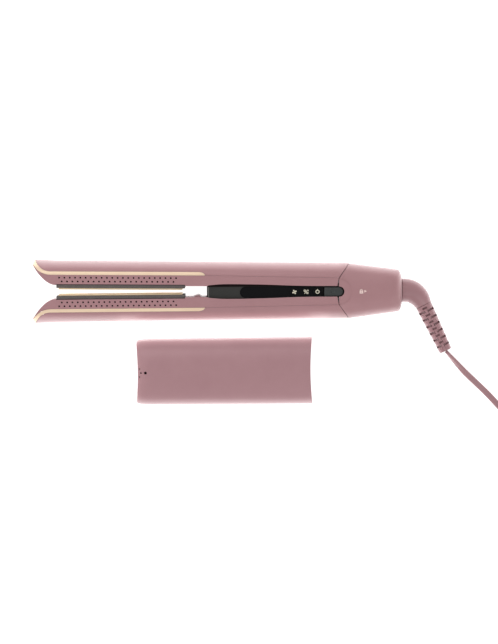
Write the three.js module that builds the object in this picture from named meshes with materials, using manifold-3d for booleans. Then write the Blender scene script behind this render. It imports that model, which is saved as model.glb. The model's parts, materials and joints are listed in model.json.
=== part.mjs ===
// A hair straightener with two hinged arms, a control strip between them, a swivelling
// cord and a slip-on plate cover.
// Millimetres. The iron lies on one flat side, which is the plane Z = 0. The origin is where
// the axis of the hinge pin meets that plane, +X runs towards the cord, and the upper arm
// is on the +Y side.
import * as THREE from 'three';
import { mergeVertices } from 'three/addons/utils/BufferGeometryUtils.js';
import Module from 'manifold-3d';

const wasm = await Module();
wasm.setup();

// Driving dimensions
const bodyDepth = 37;          // flat side to flat side
const wall = 2.2;              // shells
const gap = 0.3;               // left between pieces that touch
const noseLength = 19.2;       // in front of the plate holders
const holderLength = 102.4;
const windowLength = 17.6;     // the gap one can see through, behind the plates
const coreLength = 105.3;      // control strip, from the window to the tail
const pinToSeam = 38.3;        // from the hinge pin to the front edge of the tail
const tailLength = 12.4;       // from the hinge pin to the cord end of the tail
const tipHalf = 23.6;          // half height of the closed iron, at its flared tip
const frontHalf = 22.9;        // over the plates
const seamHalf = 21.95;        // where the arms meet the tail
const tailHalf = 16.3;         // near the cord end
const tailCorner = 2.8;        // length of its bevelled cord end
const seamReach = 8.5;         // of the slanting seam, back along the tail
const flatFront = 11.8;        // half height of the flat side band, over the plates
const flatSeam = 10.4;         // and at the tail
const flatTail = 4.5;          // and on the tail itself
const trimWidth = 2.8;
const panelEdge = 4.4;         // from the mid-plane to the inner edge of a vented panel
const windowEdge = 3.3;
const stripEdge = 4.0;         // visible half height of the control strip at its ends
const stripBulge = 1.0;        // and how much more it is near the front
const plateGap = 0.3;          // between the two plates if the arms were fully parallel
const plateThickness = 1.8;
const plateStandOut = 1.2;     // out of its holder
const plateWidth = 30.6;
const plateTravel = 1.2;
const ventPitch = 4.24;
const ventRadius = 0.75;
const ventRows = [[6.6, 22], [9.6, 23]];   // distance from the mid-plane, number of holes
const ventSides = 4;
const restAngle = THREE.MathUtils.degToRad(0.8);   // how far the upper arm stands open
const coreHalf = 5.3;
const coreRecess = wall + 0.4; // of the control strip below the flat side
const lensHalf = 4.4;
const lensLength = 66;
const buttonRadius = 3.2;
const buttonPitch = 9.2;
const sliderLength = 14.9;
const sliderTravel = 1;        // towards the plates
const sliderReach = 3.4;       // how far the slider reaches into the tail
const sliderPlay = 0.7;        // around it in its slot
const baffleHeights = [8, 10.6];   // of the rib inside each vented panel, from the mid-plane
const baffleThickness = 1.2;
const pinRadius = 2;
const knuckleRadius = 5.2;
const bracketPlate = 3.5;
const blowerSize = 24;
const blowerHeight = 6.4;
const impellerRadius = 9.4;
const screwRadius = 1.1;
const headRadius = 2.1;
const headHeight = 0.8;
const collarRadius = 9.35;     // of the swivel
const neckRadius = 6.8;
const reliefLength = 41;
const reliefRadii = [6.5, 4.95];
const reliefRibs = 12;
const cordWidth = 5;
const cordThickness = 3;
const coilCentre = [140, -94.3];
const coilTurnRadius = 37;     // of the outermost turn
const coilColumns = 4;
const coilLayers = 4;
const tieThickness = 1;
const tieWidth = 9;
const plugLength = 34;
const plugWidth = 33;
const plugThickness = 14;
const coverLength = 141.0;
const coverCentreY = -63.2;
const coverX = -201.0;         // closed end of the slip-on cover
const coverWall = 2.3;
const coverPlay = 0.9;         // between the closed iron and the cover, at each edge
const coverVent = 3.9;         // from its closed end wall to the through vent
const coverDip = 1.6;          // hollow curve of the cover's ends

// Places along X that follow from them
const middle = bodyDepth / 2;
const seamX = -pinToSeam;
const coreX = seamX - coreLength;
const holderEndX = coreX - windowLength;
const holderX = holderEndX - holderLength;
const tipX = holderX - noseLength;
const clear = 2 * tipHalf;   // far enough outside to cut right through

// Solids

function solid(geometry) {
  const bare = geometry.clone();
  bare.deleteAttribute('normal');
  bare.deleteAttribute('uv');
  const merged = mergeVertices(bare);
  const vertProperties = new Float32Array(merged.attributes.position.array);
  const triVerts = new Uint32Array(merged.index.array);
  return new wasm.Manifold(new wasm.Mesh({ numProp: 3, vertProperties, triVerts }));
}

function geometryOf(body) {
  const { vertProperties, triVerts } = body.getMesh();
  const geometry = new THREE.BufferGeometry();
  geometry.setAttribute('position', new THREE.BufferAttribute(vertProperties, 3));
  geometry.setIndex(new THREE.BufferAttribute(triVerts, 1));
  return geometry;
}

function prism(points, low, high) {
  const shape = new THREE.Shape(points.map(([x, y]) => new THREE.Vector2(x, y)));
  const geometry = new THREE.ExtrudeGeometry(shape, { depth: high - low, bevelEnabled: false });
  return solid(geometry.translate(0, 0, low));
}

function block(x, y, z) {
  const geometry = new THREE.BoxGeometry(x[1] - x[0], Math.abs(y[1] - y[0]), z[1] - z[0]);
  return solid(geometry.translate((x[0] + x[1]) / 2, (y[0] + y[1]) / 2, (z[0] + z[1]) / 2));
}

// A round bar from one point, along an axis that is 'x', 'y' or 'z'
function bar(axis, radius, length, from, sides = 16) {
  const geometry = new THREE.CylinderGeometry(radius, radius, Math.abs(length), sides);
  geometry.translate(0, length / 2, 0);
  if (axis === 'x') geometry.rotateZ(-Math.PI / 2);
  if (axis === 'z') geometry.rotateX(Math.PI / 2);
  return solid(geometry.translate(...from));
}

// A straight extrusion of a unit outline whose points are each moved to place(u, v, step)
function loft(outline, steps, place) {
  const geometry = new THREE.ExtrudeGeometry(outline, { depth: steps, steps, bevelEnabled: false });
  const position = geometry.attributes.position;
  for (let i = 0; i < position.count; i++) {
    const at = place(position.getX(i), position.getY(i), Math.round(position.getZ(i)));
    position.setXYZ(i, ...at);
  }
  return solid(geometry);
}

// A section that is flat on both sides and elliptical at both edges, in unit form
function unitSection(sideSteps) {
  const points = [];
  for (const side of [1, -1]) {
    for (let i = 0; i <= sideSteps; i++) {
      const angle = side * Math.PI * (0.5 - i / sideSteps);
      points.push(new THREE.Vector2(side * (1 + Math.cos(angle)), Math.sin(angle)));
    }
  }
  return new THREE.Shape(points);
}

// The section swept along X through stations of { x, half, flat, deep }, inset by a wall
function form(stations, inset, centreY, centreZ, sideSteps = 10) {
  const last = stations.length - 1;
  return loft(unitSection(sideSteps), last, (u, v, step) => {
    const { x, half, flat, deep } = stations[step];
    const out = Math.max(Math.abs(u) - 1, 0) * (half - inset - flat);
    const y = Math.sign(u) * (Math.min(Math.abs(u), 1) * flat + out);
    const shift = step === 0 ? inset : step === last ? -inset : 0;
    return [x + shift, centreY + y, centreZ + v * (deep - inset)];
  });
}

// A round or flat section swept along a curve, level with the floor or rolled about its path
function sweep(path, steps, sides, sizeAt, rollAt = () => 0) {
  const outline = new THREE.Shape();
  outline.setFromPoints(Array.from({ length: sides }, (_, i) => {
    const angle = 2 * Math.PI * (i + 0.5) / sides;
    return new THREE.Vector2(Math.cos(angle), Math.sin(angle));
  }));
  const up = new THREE.Vector3(0, 0, 1);
  return loft(outline, steps, (u, v, step) => {
    const at = step / steps;
    const along = path.getTangentAt(at);
    const across = up.clone().cross(along).normalize();
    const over = along.clone().cross(across);
    const [width, height] = sizeAt(at);
    const [sin, cos] = [Math.sin(rollAt(at)), Math.cos(rollAt(at))];
    const [a, b] = [u * width, v * height];
    const point = path.getPointAt(at);
    point.addScaledVector(across, a * cos - b * sin).addScaledVector(over, a * sin + b * cos);
    return point.toArray();
  });
}

function curvePoints(from, control, to, steps) {
  const vectors = [from, control, to].map(([x, y]) => new THREE.Vector2(x, y));
  return new THREE.QuadraticBezierCurve(...vectors).getPoints(steps).map((p) => [p.x, p.y]);
}

const shifted = (points, distance) => points.map(([x, y]) => [x + distance, y + distance]);
const mirrored = (points, side) => points.map(([x, y]) => [x, y * side]);

// Materials

const finishes = {
  shell: [0xa77a80, 0.42, 0.1],
  trim: [0xeed5b6, 0.25, 1],
  plate: [0xe8d3b2, 0.2, 1],
  holder: [0x544e4c, 0.7, 0],
  core: [0x363533, 0.6, 0],
  lens: [0x18181a, 0.08, 0],
  slider: [0x42464a, 0.5, 0],
  icon: [0xd6cfbc, 0.5, 0],
  steel: [0xb9bcc0, 0.35, 1],
  board: [0x2f6b45, 0.6, 0],
  ceramic: [0xe6e1d6, 0.7, 0],
  rubber: [0xa57d80, 0.65, 0],
  black: [0x26262a, 0.6, 0],
};

function piece(name, body, finish) {
  const [color, roughness, metalness] = finishes[finish];
  const material = new THREE.MeshStandardMaterial({ color, roughness, metalness });
  const mesh = new THREE.Mesh(geometryOf(body), material);
  mesh.name = name;
  return mesh;
}

// The outer form of the closed iron, shared by both arms and the tail

const seamOuter = [seamX + seamReach, seamHalf + 0.05];
const tailSlope = (seamHalf - tailHalf) / (tailLength - tailCorner - seamOuter[0]);
const tailHalfAt = (x) => seamHalf - (x - seamOuter[0]) * tailSlope;
const flatAt = (x) => THREE.MathUtils.mapLinear(x, coreX, seamX, flatFront, flatSeam);
const bodyStations = [
  { x: tipX, half: tipHalf - 1.3, flat: flatFront, deep: middle - 1.6 },
  { x: tipX + 1.6, half: tipHalf, flat: flatFront, deep: middle - 0.3 },
  { x: tipX + 6, half: tipHalf - 0.2, flat: flatFront, deep: middle },
  { x: holderX, half: frontHalf, flat: flatFront, deep: middle },
  { x: coreX, half: (frontHalf + seamHalf) / 2, flat: flatFront, deep: middle },
  { x: seamX, half: seamHalf, flat: flatSeam, deep: middle },
  { x: seamOuter[0], half: seamHalf, flat: flatTail + 2, deep: middle },
  { x: seamX + flatSeam, half: tailHalfAt(seamX + flatSeam), flat: flatTail + 1, deep: middle },
  { x: tailLength - 9.4, half: tailHalfAt(tailLength - 9.4), flat: flatTail, deep: middle },
  { x: tailLength - tailCorner, half: tailHalf, flat: 3, deep: middle - 1.9 },
  { x: tailLength - 1.2, half: tailHalf - 3.2, flat: 1.5, deep: middle - 5 },
  { x: tailLength, half: collarRadius + 0.5, flat: 0.4, deep: collarRadius + 0.5 },
];
const bodyForm = form(bodyStations, 0, 0, middle);
const cavity = form(bodyStations, wall, 0, middle);
const skin = bodyForm.subtract(cavity);

// Edges of the arm's parts, from the tip to the tail, on the +Y side of a closed iron

const noseEdge = curvePoints(
  [tipX + 0.4, tipHalf - 4.6], [holderX - gap - 8.7, panelEdge - 0.7],
  [holderX - gap, panelEdge - 0.7], 7);
const trimRootX = holderX - 3.4;
const trimLow = curvePoints([tipX - 0.6, tipHalf - 2.4], [tipX + 5.3, flatFront - 0.3],
  [trimRootX, flatFront], 7);
const trimHigh = curvePoints([tipX + 1.8, tipHalf - 0.3], [tipX + 6.6, flatFront + trimWidth - 0.6],
  [trimRootX, flatFront + trimWidth], 7);
const trimEndX = coreX - 1.6;
const trimTaper = curvePoints([trimEndX - 5.6, flatFront + trimWidth],
  [trimEndX - 1.5, flatFront + trimWidth], [trimEndX, flatFront + 0.6], 3);
const seamCorner = [seamX + gap, flatSeam];
const seamSlope = (seamOuter[0] - seamCorner[0]) / (seamOuter[1] - seamCorner[1]);
const seamAt = (y) => seamCorner[0] + (y - seamCorner[1]) * seamSlope;
const armSeamRadius = Math.hypot(...seamCorner) + 0.4;
const armSeamX = (y) => -Math.sqrt(armSeamRadius ** 2 - y ** 2);
const strip = new THREE.SplineCurve([
  [coreX + 1.6, stripEdge], [coreX + 14.6, stripEdge + stripBulge],
  [seamX - 60, stripEdge + stripBulge * 0.8], [seamX - 31, stripEdge], [armSeamX(stripEdge), stripEdge],
].map(([x, y]) => new THREE.Vector2(x, y))).getPoints(8).map((p) => [p.x, p.y]);
const parting = [...trimLow, [coreX, flatFront], seamCorner];

function innerShell(name, side) {
  const below = shifted(parting.slice(0, -1), -gap / 2);
  const outline = [
    [tipX - 2, tipHalf - 5.6], ...noseEdge, [holderX - gap, panelEdge],
    [holderEndX + gap, panelEdge], [holderEndX + gap, windowEdge], [coreX, windowEdge], ...strip,
    [armSeamX(flatSeam), flatSeam - gap / 2], ...below.reverse(),
  ];
  const inside = prism(mirrored(outline, side), -1, bodyDepth + 1);
  const noseBack = shifted(noseEdge, wall).filter(([x]) => x < holderX - gap);
  const noseWall = [...noseEdge, [holderX - gap, panelEdge + wall], ...noseBack.reverse()];
  let body = skin.add(prism(mirrored(noseWall, side), 0, bodyDepth).intersect(bodyForm));
  body = body.intersect(inside);
  for (const [height, count] of ventRows) {
    const start = holderX + 2.2 + (height === ventRows[0][0] ? ventPitch / 2 : 0);
    for (let i = 0; i < count; i++) {
      const at = [start + i * ventPitch, height * side, -1];
      body = body.subtract(bar('z', ventRadius, bodyDepth + 2, at, ventSides));
    }
  }
  const lastVentX = holderX + ventPitch * (ventRows[1][1] + 1);
  const baffle = block([tipX, lastVentX], baffleHeights.map((y) => y * side),
    [middle - baffleThickness / 2, middle + baffleThickness / 2]);
  body = body.add(baffle.intersect(inside));
  return piece(name, body, 'shell');
}

function trimBand(name, side) {
  const outline = [
    ...shifted(trimLow, gap / 2), [trimEndX, flatFront + gap / 2],
    ...shifted(trimTaper, -gap / 2).reverse(), ...shifted(trimHigh, -gap / 2).reverse(),
    [tipX - 2, tipHalf - 0.3],
  ];
  return piece(name, skin.intersect(prism(mirrored(outline, side), -1, bodyDepth + 1)), 'trim');
}

function coverScrewPlaces(side) {
  return [coreX + 40, seamX - 31].map((x) => [x, side * (coreHalf + 0.7), middle]);
}

function outerShell(name, side) {
  const outline = [
    [tipX - 2, tipHalf + 0.2], ...shifted(trimHigh, gap / 2), ...shifted(trimTaper, gap / 2),
    [trimEndX + 1, flatFront + gap / 2], [coreX, flatFront + gap / 2],
    [seamCorner[0] - 0.4, flatSeam + gap / 2], [seamAt(clear) - 0.4, clear], [tipX - 2, clear],
  ];
  let body = skin.intersect(prism(mirrored(outline, side), -1, bodyDepth + 1));
  for (const [x, y, z] of coverScrewPlaces(side)) {
    const start = y + side * (2.4 + gap);
    body = body.add(bar('y', 3, side * (seamHalf - Math.abs(start) - 1), [x, start, z], 12));
    body = body.subtract(bar('y', screwRadius + gap, side * 9, [x, start - side, z], 12));
  }
  return piece(name, body, 'shell');
}

function innerCover(name, side, bump) {
  const inner = coreHalf + 0.5;
  const [front, step] = [holderEndX + gap, coreX - 0.9];
  const rear = armSeamX(inner) - 4;
  const outline = [
    [front, windowEdge], [step, windowEdge], [step, inner], [rear, inner],
    [rear, inner + 1.8], [step - 1.8, inner + 1.8], [step - 1.8, windowEdge + 1.8],
    [front, windowEdge + 1.8],
  ];
  const [low, high] = [wall + gap, bodyDepth - wall - gap];
  let body = prism(mirrored(outline, side), low, high);
  if (bump) {
    const wedge = [[coreX - 13.4, windowEdge + 0.5], [coreX - 6.8, windowEdge - 1.7],
      [coreX - 3.4, windowEdge + 0.5]];
    body = body.add(prism(mirrored(wedge, side), low, high));
  }
  for (const [x, y, z] of coverScrewPlaces(side)) {
    body = body.subtract(bar('y', screwRadius + gap, side * 4, [x, y - side, z], 12));
    body = body.subtract(bar('y', headRadius + gap, side * (headHeight + gap + 1),
      [x, y - side, z], 12));
  }
  return piece(name, body, 'shell');
}

function screw(name, axis, from, direction, length) {
  const head = bar(axis, headRadius, direction * headHeight, from, 12);
  const shank = bar(axis, screwRadius, direction * (length - 0.5),
    from.map((v, i) => v + ('xyz'[i] === axis ? direction * 0.5 : 0)), 10);
  return piece(name, head.add(shank), 'steel');
}

// Heated plates and what holds them

const holderFace = plateGap / 2 + plateStandOut;
const plateBack = plateGap / 2 + plateThickness;
const heaterBack = plateBack + gap + 1.2;
const recessFloor = heaterBack + gap + plateTravel + 1.1;
const holderBack = recessFloor + 1.5;
const plateEnds = [holderX + 1.6, holderEndX - 1.8];
const plateSide = [middle - plateWidth / 2, middle + plateWidth / 2];

const grow = ([low, high], by) => [low - by, high + by];
const facing = (side, low, high) => [side * low, side * high].sort((a, b) => a - b);

function plateHolder(name, side) {
  const ends = [holderX, holderEndX];
  const rim = block(ends, facing(side, holderFace, panelEdge - gap), [0.8, bodyDepth - 0.8]);
  const box = block(ends, facing(side, panelEdge - 1, holderBack),
    [wall + gap, bodyDepth - wall - gap]);
  const recess = block(grow(plateEnds, gap), facing(side, 0, recessFloor), grow(plateSide, gap));
  return piece(name, rim.add(box).subtract(recess), 'holder');
}

function plate(name, side) {
  const body = block(plateEnds, facing(side, plateGap / 2, plateBack), plateSide);
  return piece(name, body, 'plate');
}

function heater(name, side) {
  const body = block(grow(plateEnds, -6), facing(side, plateBack + gap, heaterBack),
    grow(plateSide, -5));
  return piece(name, body, 'ceramic');
}

function plateSpring(name, side, share) {
  const x = THREE.MathUtils.lerp(...plateEnds, share);
  const [low, high] = [heaterBack + gap, recessFloor - gap];
  const ring = bar('y', 3.2, side * (high - low), [x, side * low, middle], 12);
  const hole = bar('y', 1.9, side * (high - low + 2), [x, side * (low - 1), middle], 12);
  return piece(name, ring.subtract(hole), 'steel');
}

function thermalFuse(name, side) {
  const at = [holderX + holderLength / 2 - 6, side * (holderBack + gap + 1.6), middle + 6];
  return piece(name, bar('x', 1.6, 12, at, 10), 'steel');
}

// Blowers

const blowerX = coreX + 20;
const blowerBase = coreHalf + 0.5 + 1.8 + gap;

function blowerCase(name, side) {
  const reach = [blowerX - blowerSize / 2, blowerX + blowerSize / 2];
  const deep = [middle - blowerSize / 2, middle + blowerSize / 2];
  const base = blowerBase + 1.2;
  const box = block(reach, facing(side, blowerBase, blowerBase + blowerHeight), deep);
  const bowl = bar('y', impellerRadius + 1, side * blowerHeight,
    [blowerX, side * base, middle], 20);
  const outlet = block([reach[0] - 1, blowerX], facing(side, base, clear),
    [middle, middle + impellerRadius]);
  const spindle = bar('y', 1, side * 4, [blowerX, side * (base - 0.5), middle], 10);
  return piece(name, box.subtract(bowl).subtract(outlet).add(spindle), 'black');
}

function impeller(name, side) {
  const base = blowerBase + 1.2 + 0.6;
  const height = blowerHeight - 2.2;
  let body = bar('y', impellerRadius, side * 0.8, [0, 0, 0], 18);
  for (let i = 0; i < 9; i++) {
    const blade = new THREE.BoxGeometry(impellerRadius - 3, height, 0.8);
    blade.translate(impellerRadius / 2 + 1.3, side * height / 2, 0);
    blade.rotateY(2 * Math.PI * i / 9);
    body = body.add(solid(blade));
  }
  body = body.add(bar('y', 3.4, side * height, [0, 0, 0], 12));
  body = body.subtract(bar('y', 1 + gap, side * 3.4, [0, -side * 0.2, 0], 10));
  return piece(name, body.translate([blowerX, side * base, middle]), 'black');
}

// Hinge: the upper bracket's two plates stand either side of the lower bracket's one

const upperLevels = [9.5, 24].map((low) => [low, low + bracketPlate]);
const lowerLevel = [upperLevels[0][1] + 3.9, upperLevels[1][0] - gap];

function hingeBracket(name, side, levels) {
  const inner = coreHalf + 0.5 + 1.8 + gap;
  const outline = [
    [seamX - 24, inner], [seamX - 3, inner], [seamX - 1, coreHalf + 0.7],
    [seamX + 14, coreHalf + 0.7], [-1, -knuckleRadius + 0.4], [3, knuckleRadius - 1.2],
    [seamX + 8, inner + 0.9], [seamX - 3, inner + 0.9], [seamX - 8, inner + 3],
    [seamX - 24, inner + 3],
  ];
  const web = block([seamX - 24, seamX - 10], facing(side, inner, inner + 1.6),
    [levels[0][0], levels.at(-1)[1]]);
  let body = web;
  for (const [low, high] of levels) {
    body = body.add(prism(mirrored(outline, side), low, high));
    body = body.add(bar('z', knuckleRadius, high - low, [0, 0, low], 20));
  }
  return piece(name, body.subtract(bar('z', pinRadius + gap, bodyDepth, [0, 0, 0], 20)), 'steel');
}

const pinEnds = [wall + 1.4 + gap, bodyDepth - wall - 1.4 - gap];

function hingePin() {
  const length = pinEnds[1] - pinEnds[0];
  return piece('hinge_pin', bar('z', pinRadius, length, [0, 0, pinEnds[0]], 20), 'steel');
}

function torsionSpring() {
  const [radius, wire, legs, turns] = [3.5, 0.45, 8, 2.5];
  const [low, high] = [upperLevels[0][1] + gap + wire, lowerLevel[0] - gap - wire];
  const points = [[-legs, -radius, low]];
  const steps = 12 * turns;
  for (let i = 0; i <= steps; i++) {
    const angle = 2 * Math.PI * (i / 12 - 0.25);
    const z = THREE.MathUtils.lerp(low, high, i / steps);
    points.push([radius * Math.cos(angle), radius * Math.sin(angle), z]);
  }
  points.push([-legs, radius, high]);
  const path = new THREE.CatmullRomCurve3(points.map((p) => new THREE.Vector3(...p)));
  return piece('torsion_spring', sweep(path, 34, 6, () => [wire, wire]), 'steel');
}

// Tail housing, split on the middle plane

const tailScrews = [1, -1].map((side) => [1, side * 10.5]);
const flangeX = [tailLength - 5, tailLength - wall - gap];

function tailOutline() {
  const notch = [];
  for (let i = 0; i <= 8; i++) {
    const angle = Math.PI * (0.5 - i / 8);
    notch.push([seamX + 0.3 + 4.1 * Math.cos(angle), 4.1 * Math.sin(angle)]);
  }
  const upper = [[seamAt(clear), clear], seamCorner, [seamX, 4.2]];
  return [...upper, ...notch, ...mirrored(upper, -1).reverse(), [tailLength + 1, -clear],
    [tailLength + 1, clear]];
}

function tailShell(name, front) {
  const split = front ? [middle + gap / 2, bodyDepth + 1] : [-1, middle - gap / 2];
  const full = [-1, bodyDepth + 1];
  let body = skin.intersect(prism(tailOutline(), ...full));
  const ribX = [flangeX[0] - gap - 1.8, flangeX[0] - gap];
  const rib = block(ribX, [-clear, clear], full).intersect(bodyForm);
  body = body.add(rib);
  for (const [x, y] of tailScrews) {
    body = body.add(bar('z', 3.4, bodyDepth - 2, [x, y, 1], 14).intersect(bodyForm));
    body = body.subtract(bar('z', screwRadius + gap, 26, [x, y, -1], 12));
    body = body.subtract(bar('z', headRadius + gap, headHeight + 3 + gap, [x, y, -1], 12));
  }
  const pinBore = bar('z', pinRadius + gap, pinEnds[1] - pinEnds[0] + 2 * gap,
    [0, 0, pinEnds[0] - gap], 20);
  const hollow = upperLevels[1][1] + gap - (upperLevels[0][0] - gap);
  const boss = bar('z', knuckleRadius, bodyDepth - 2, [0, 0, 1], 20)
    .subtract(bar('z', knuckleRadius + 1, hollow, [0, 0, upperLevels[0][0] - gap], 20));
  body = body.add(boss).subtract(pinBore);
  body = body.subtract(bar('x', neckRadius + gap, 40, [ribX[0] - 1, 0, middle], 24));
  body = body.intersect(block([seamX - clear, clear], [-clear, clear], split));
  return piece(name, body, 'shell');
}

// Control strip

const coreFace = bodyDepth - coreRecess;
const coreEndX = seamX + 12;
const sliderX = seamX + sliderReach - sliderLength;
const lensEndX = sliderX - sliderTravel - gap;
const lensX = lensEndX - lensLength;
const lensThickness = 1.6;
const buttonXs = [2, 1, 0].map((n) => lensEndX - buttonRadius - 1 - n * buttonPitch);
const buttonNames = ['fan_button', 'temperature_button', 'power_button'];
const boardTop = coreFace - 4.6;

function roundEnded(x, half, low, high, startRound, endRound) {
  const points = [];
  const corner = (centreX, from, round) => {
    for (let i = 0; i <= 6; i++) {
      const angle = from + Math.PI * i / 6;
      if (round) points.push([centreX + half * Math.cos(angle), half * Math.sin(angle)]);
    }
    if (!round) points.push([centreX, half * Math.sin(from)], [centreX, -half * Math.sin(from)]);
  };
  corner(endRound ? x[1] - half : x[1], -Math.PI / 2, endRound);
  corner(startRound ? x[0] + half : x[0], Math.PI / 2, startRound);
  return prism(points, low, high);
}

function coreFrame() {
  const back = coreRecess;
  const full = block([coreX, coreEndX], [-coreHalf, coreHalf], [back, coreFace - 0.1]);
  const pocket = block([lensX + 2, lensEndX - 0.4], [-3.8, 3.8], [back - 1, coreFace + 1]);
  const front = block([coreX + 3, lensX + 3], [-3.8, 3.8], [back - 1, coreFace - 4]);
  const seat = roundEnded([lensX - gap, sliderX], lensHalf + gap,
    coreFace - lensThickness - gap, coreFace + 1, true, false);
  const backSeat = block([coreX + 1.6, seamX - 5], [-lensHalf - gap, lensHalf + gap],
    [back - 1, back + 1.6 + gap]);
  const slot = roundEnded([lensEndX, sliderX + sliderLength + sliderPlay], 3.3 + sliderPlay,
    coreFace - 4, coreFace + 1, false, true);
  const body = full.subtract(pocket).subtract(front).subtract(seat).subtract(backSeat);
  return piece('core_frame', body.subtract(slot), 'core');
}

function coreBackCover() {
  const body = block([coreX + 1.6 + gap, seamX - 5 - gap], [-lensHalf, lensHalf],
    [coreRecess, coreRecess + 1.6]);
  return piece('core_back_cover', body, 'core');
}

function displayLens() {
  let body = roundEnded([lensX, lensEndX], lensHalf, coreFace - lensThickness, coreFace, true, false);
  for (const x of buttonXs) {
    body = body.subtract(bar('z', buttonRadius + gap, 9, [x, 0, coreFace - 4], 20));
  }
  return piece('display_lens', body, 'lens');
}

function button(name, x) {
  const length = coreFace - boardTop - 1;
  return piece(name, bar('z', buttonRadius, length, [x, 0, coreFace - length], 20), 'lens');
}

function controlBoard() {
  const body = block([coreX + 5, lensEndX - 2], [-3.4, 3.4], [boardTop - 1.5, boardTop - 0.1]);
  return piece('control_board', body, 'board');
}

function lockSlider() {
  let body = roundEnded([sliderX, sliderX + sliderLength], 3.3, coreFace - 3.6, coreFace + 1.5,
    false, true);
  const dimple = new THREE.SphereGeometry(3, 12, 8);
  dimple.translate(sliderX + sliderLength / 2, 0, coreFace + 1.5 + 2.2);
  body = body.subtract(solid(dimple));
  return piece('lock_slider', body, 'slider');
}

function powerBoard() {
  const low = blowerBase + 0.6;
  const body = block([coreX + 44, seamX - 36], facing(-1, low, low + 1.6), [7, bodyDepth - 7]);
  return piece('power_board', body, 'board');
}

// Swivel, strain relief and cord

const elbowPath = new THREE.CatmullRomCurve3([
  [tailLength + gap, 0], [18, 0], [22.8, -1.1], [26.8, -4.3], [29.7, -11.3],
].map(([x, y]) => new THREE.Vector3(x, y, middle)));
const reliefStart = elbowPath.getPointAt(1);
const reliefAlong = new THREE.Vector3(Math.cos(-1.1275), Math.sin(-1.1275), 0);

function swivelElbow() {
  const radiusAt = (at) => collarRadius - (collarRadius - reliefRadii[0]) * at ** 2.6;
  const bend = sweep(elbowPath, 8, 20, (at) => [radiusAt(at), radiusAt(at)]);
  const neck = bar('x', neckRadius, tailLength + 2 - flangeX[0], [flangeX[0], 0, middle], 20);
  const flange = bar('x', neckRadius + 1.5, flangeX[1] - flangeX[0], [flangeX[0], 0, middle], 20);
  return piece('swivel_elbow', bend.add(neck).add(flange), 'rubber');
}

function ribbedRelief() {
  const points = [new THREE.Vector2(0, 0)];
  const ribPitch = (reliefLength - 4) / reliefRibs;
  for (let i = 0; i <= reliefRibs; i++) {
    const at = i * ribPitch;
    const radius = THREE.MathUtils.mapLinear(at, 0, reliefLength, ...reliefRadii);
    points.push(new THREE.Vector2(radius, at));
    if (i < reliefRibs) points.push(new THREE.Vector2(radius - 0.7, at + ribPitch * 0.8));
  }
  points.push(new THREE.Vector2(reliefRadii[1], reliefLength), new THREE.Vector2(0, reliefLength));
  const geometry = new THREE.LatheGeometry(points, 12);
  geometry.rotateZ(Math.atan2(reliefAlong.y, reliefAlong.x) - Math.PI / 2);
  const start = reliefStart.clone().addScaledVector(reliefAlong, 2 * gap);
  return piece('ribbed_relief', solid(geometry.translate(...start.toArray())), 'rubber');
}

const coilFloor = tieThickness + gap;
const coilPitch = [cordWidth + 0.2, cordThickness + 0.25];
const coilInner = coilTurnRadius - (coilColumns - 0.65) * coilPitch[0] - cordWidth / 2;
const coilOuter = coilTurnRadius + cordWidth / 2 + 0.2;
const coilHeight = coilLayers * coilPitch[1];

// Where the cord lies between the strain relief and the coil, and between the coil and the plug
const cordRoute = [
  [48.0, -49.5, 18.5], [50.2, -52.0, 18.1], [54.6, -57.0, 16.8], [58.3, -61.2, 15.0],
  [61.9, -65.2, 12.4], [66.0, -69.4, 9.5], [70.8, -74.0, 6.8], [76.4, -79.4, 4.5],
  [82.2, -85.2, 3.3], [87.8, -91.2, 2.9], [97.5, -102.0, 2.9], [104, -109.3, 2.9],
];
const plugRoute = [[177, -84.3, 12.7], [177, -79.3, 12.3], [177, -73.3, 10.9], [177, -66.3, 8.6],
  [177, -61.3, 7.4], [177, -57.8, 7]];

function coilRing(inset, name) {
  const [inner, outer] = [coilInner - inset, coilOuter + inset];
  const [low, high] = [coilFloor - inset, coilFloor + coilHeight + inset];
  const corners = [[inner, low], [outer, low], [outer, high], [inner, high], [inner, low]];
  const geometry = new THREE.LatheGeometry(corners.map(([r, z]) => new THREE.Vector2(r, z)), 32);
  geometry.rotateX(Math.PI / 2).translate(...coilCentre, 0);
  const body = solid(geometry);
  return name ? piece(name, body, 'rubber') : body;
}

function cordRun(name, route, steps, rollAt) {
  const path = new THREE.CatmullRomCurve3(route.map((p) => new THREE.Vector3(...p)));
  const run = sweep(path, steps, 8, () => [cordWidth / 2, cordThickness / 2], rollAt);
  return piece(name, run.subtract(coilRing(gap)), 'rubber');
}

function coilTie() {
  const centreY = coilCentre[1] + (coilInner + coilOuter) / 2;
  const half = (coilOuter - coilInner) / 2 + gap;
  const x = [coilCentre[0] - tieWidth / 2, coilCentre[0] + tieWidth / 2];
  const outside = block(x, [centreY - half - 1.6, centreY + half + 1.6],
    [0, coilFloor + coilHeight + gap + tieThickness]);
  const inside = block([x[0] - 1, x[1] + 1], [centreY - half - 0.6, centreY + half + 0.6],
    [tieThickness, coilFloor + coilHeight + gap]);
  return piece('coil_tie', outside.subtract(inside), 'black');
}

const plugX = plugRoute.at(-1)[0];
const plugY = plugRoute.at(-1)[1] + gap;

function plugBody() {
  const [neck, slope] = [6, 12];
  const half = plugWidth / 2;
  const outline = [
    [-4, 0], [4, 0], [6, neck], [half, neck + slope], [half, neck + plugLength - 6],
    [half - 6, neck + plugLength], [6 - half, neck + plugLength], [-half, neck + plugLength - 6],
    [-half, neck + slope], [-6, neck],
  ].map(([x, y]) => [plugX + x, plugY + y]);
  return piece('plug_body', prism(outline, 0, plugThickness), 'rubber');
}

function plugPin(name, side) {
  const from = [plugX + side * 9.3, plugY + 6 + plugLength + gap, plugThickness / 2];
  return piece(name, bar('y', 2.2, 19, from, 12), 'steel');
}

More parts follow.
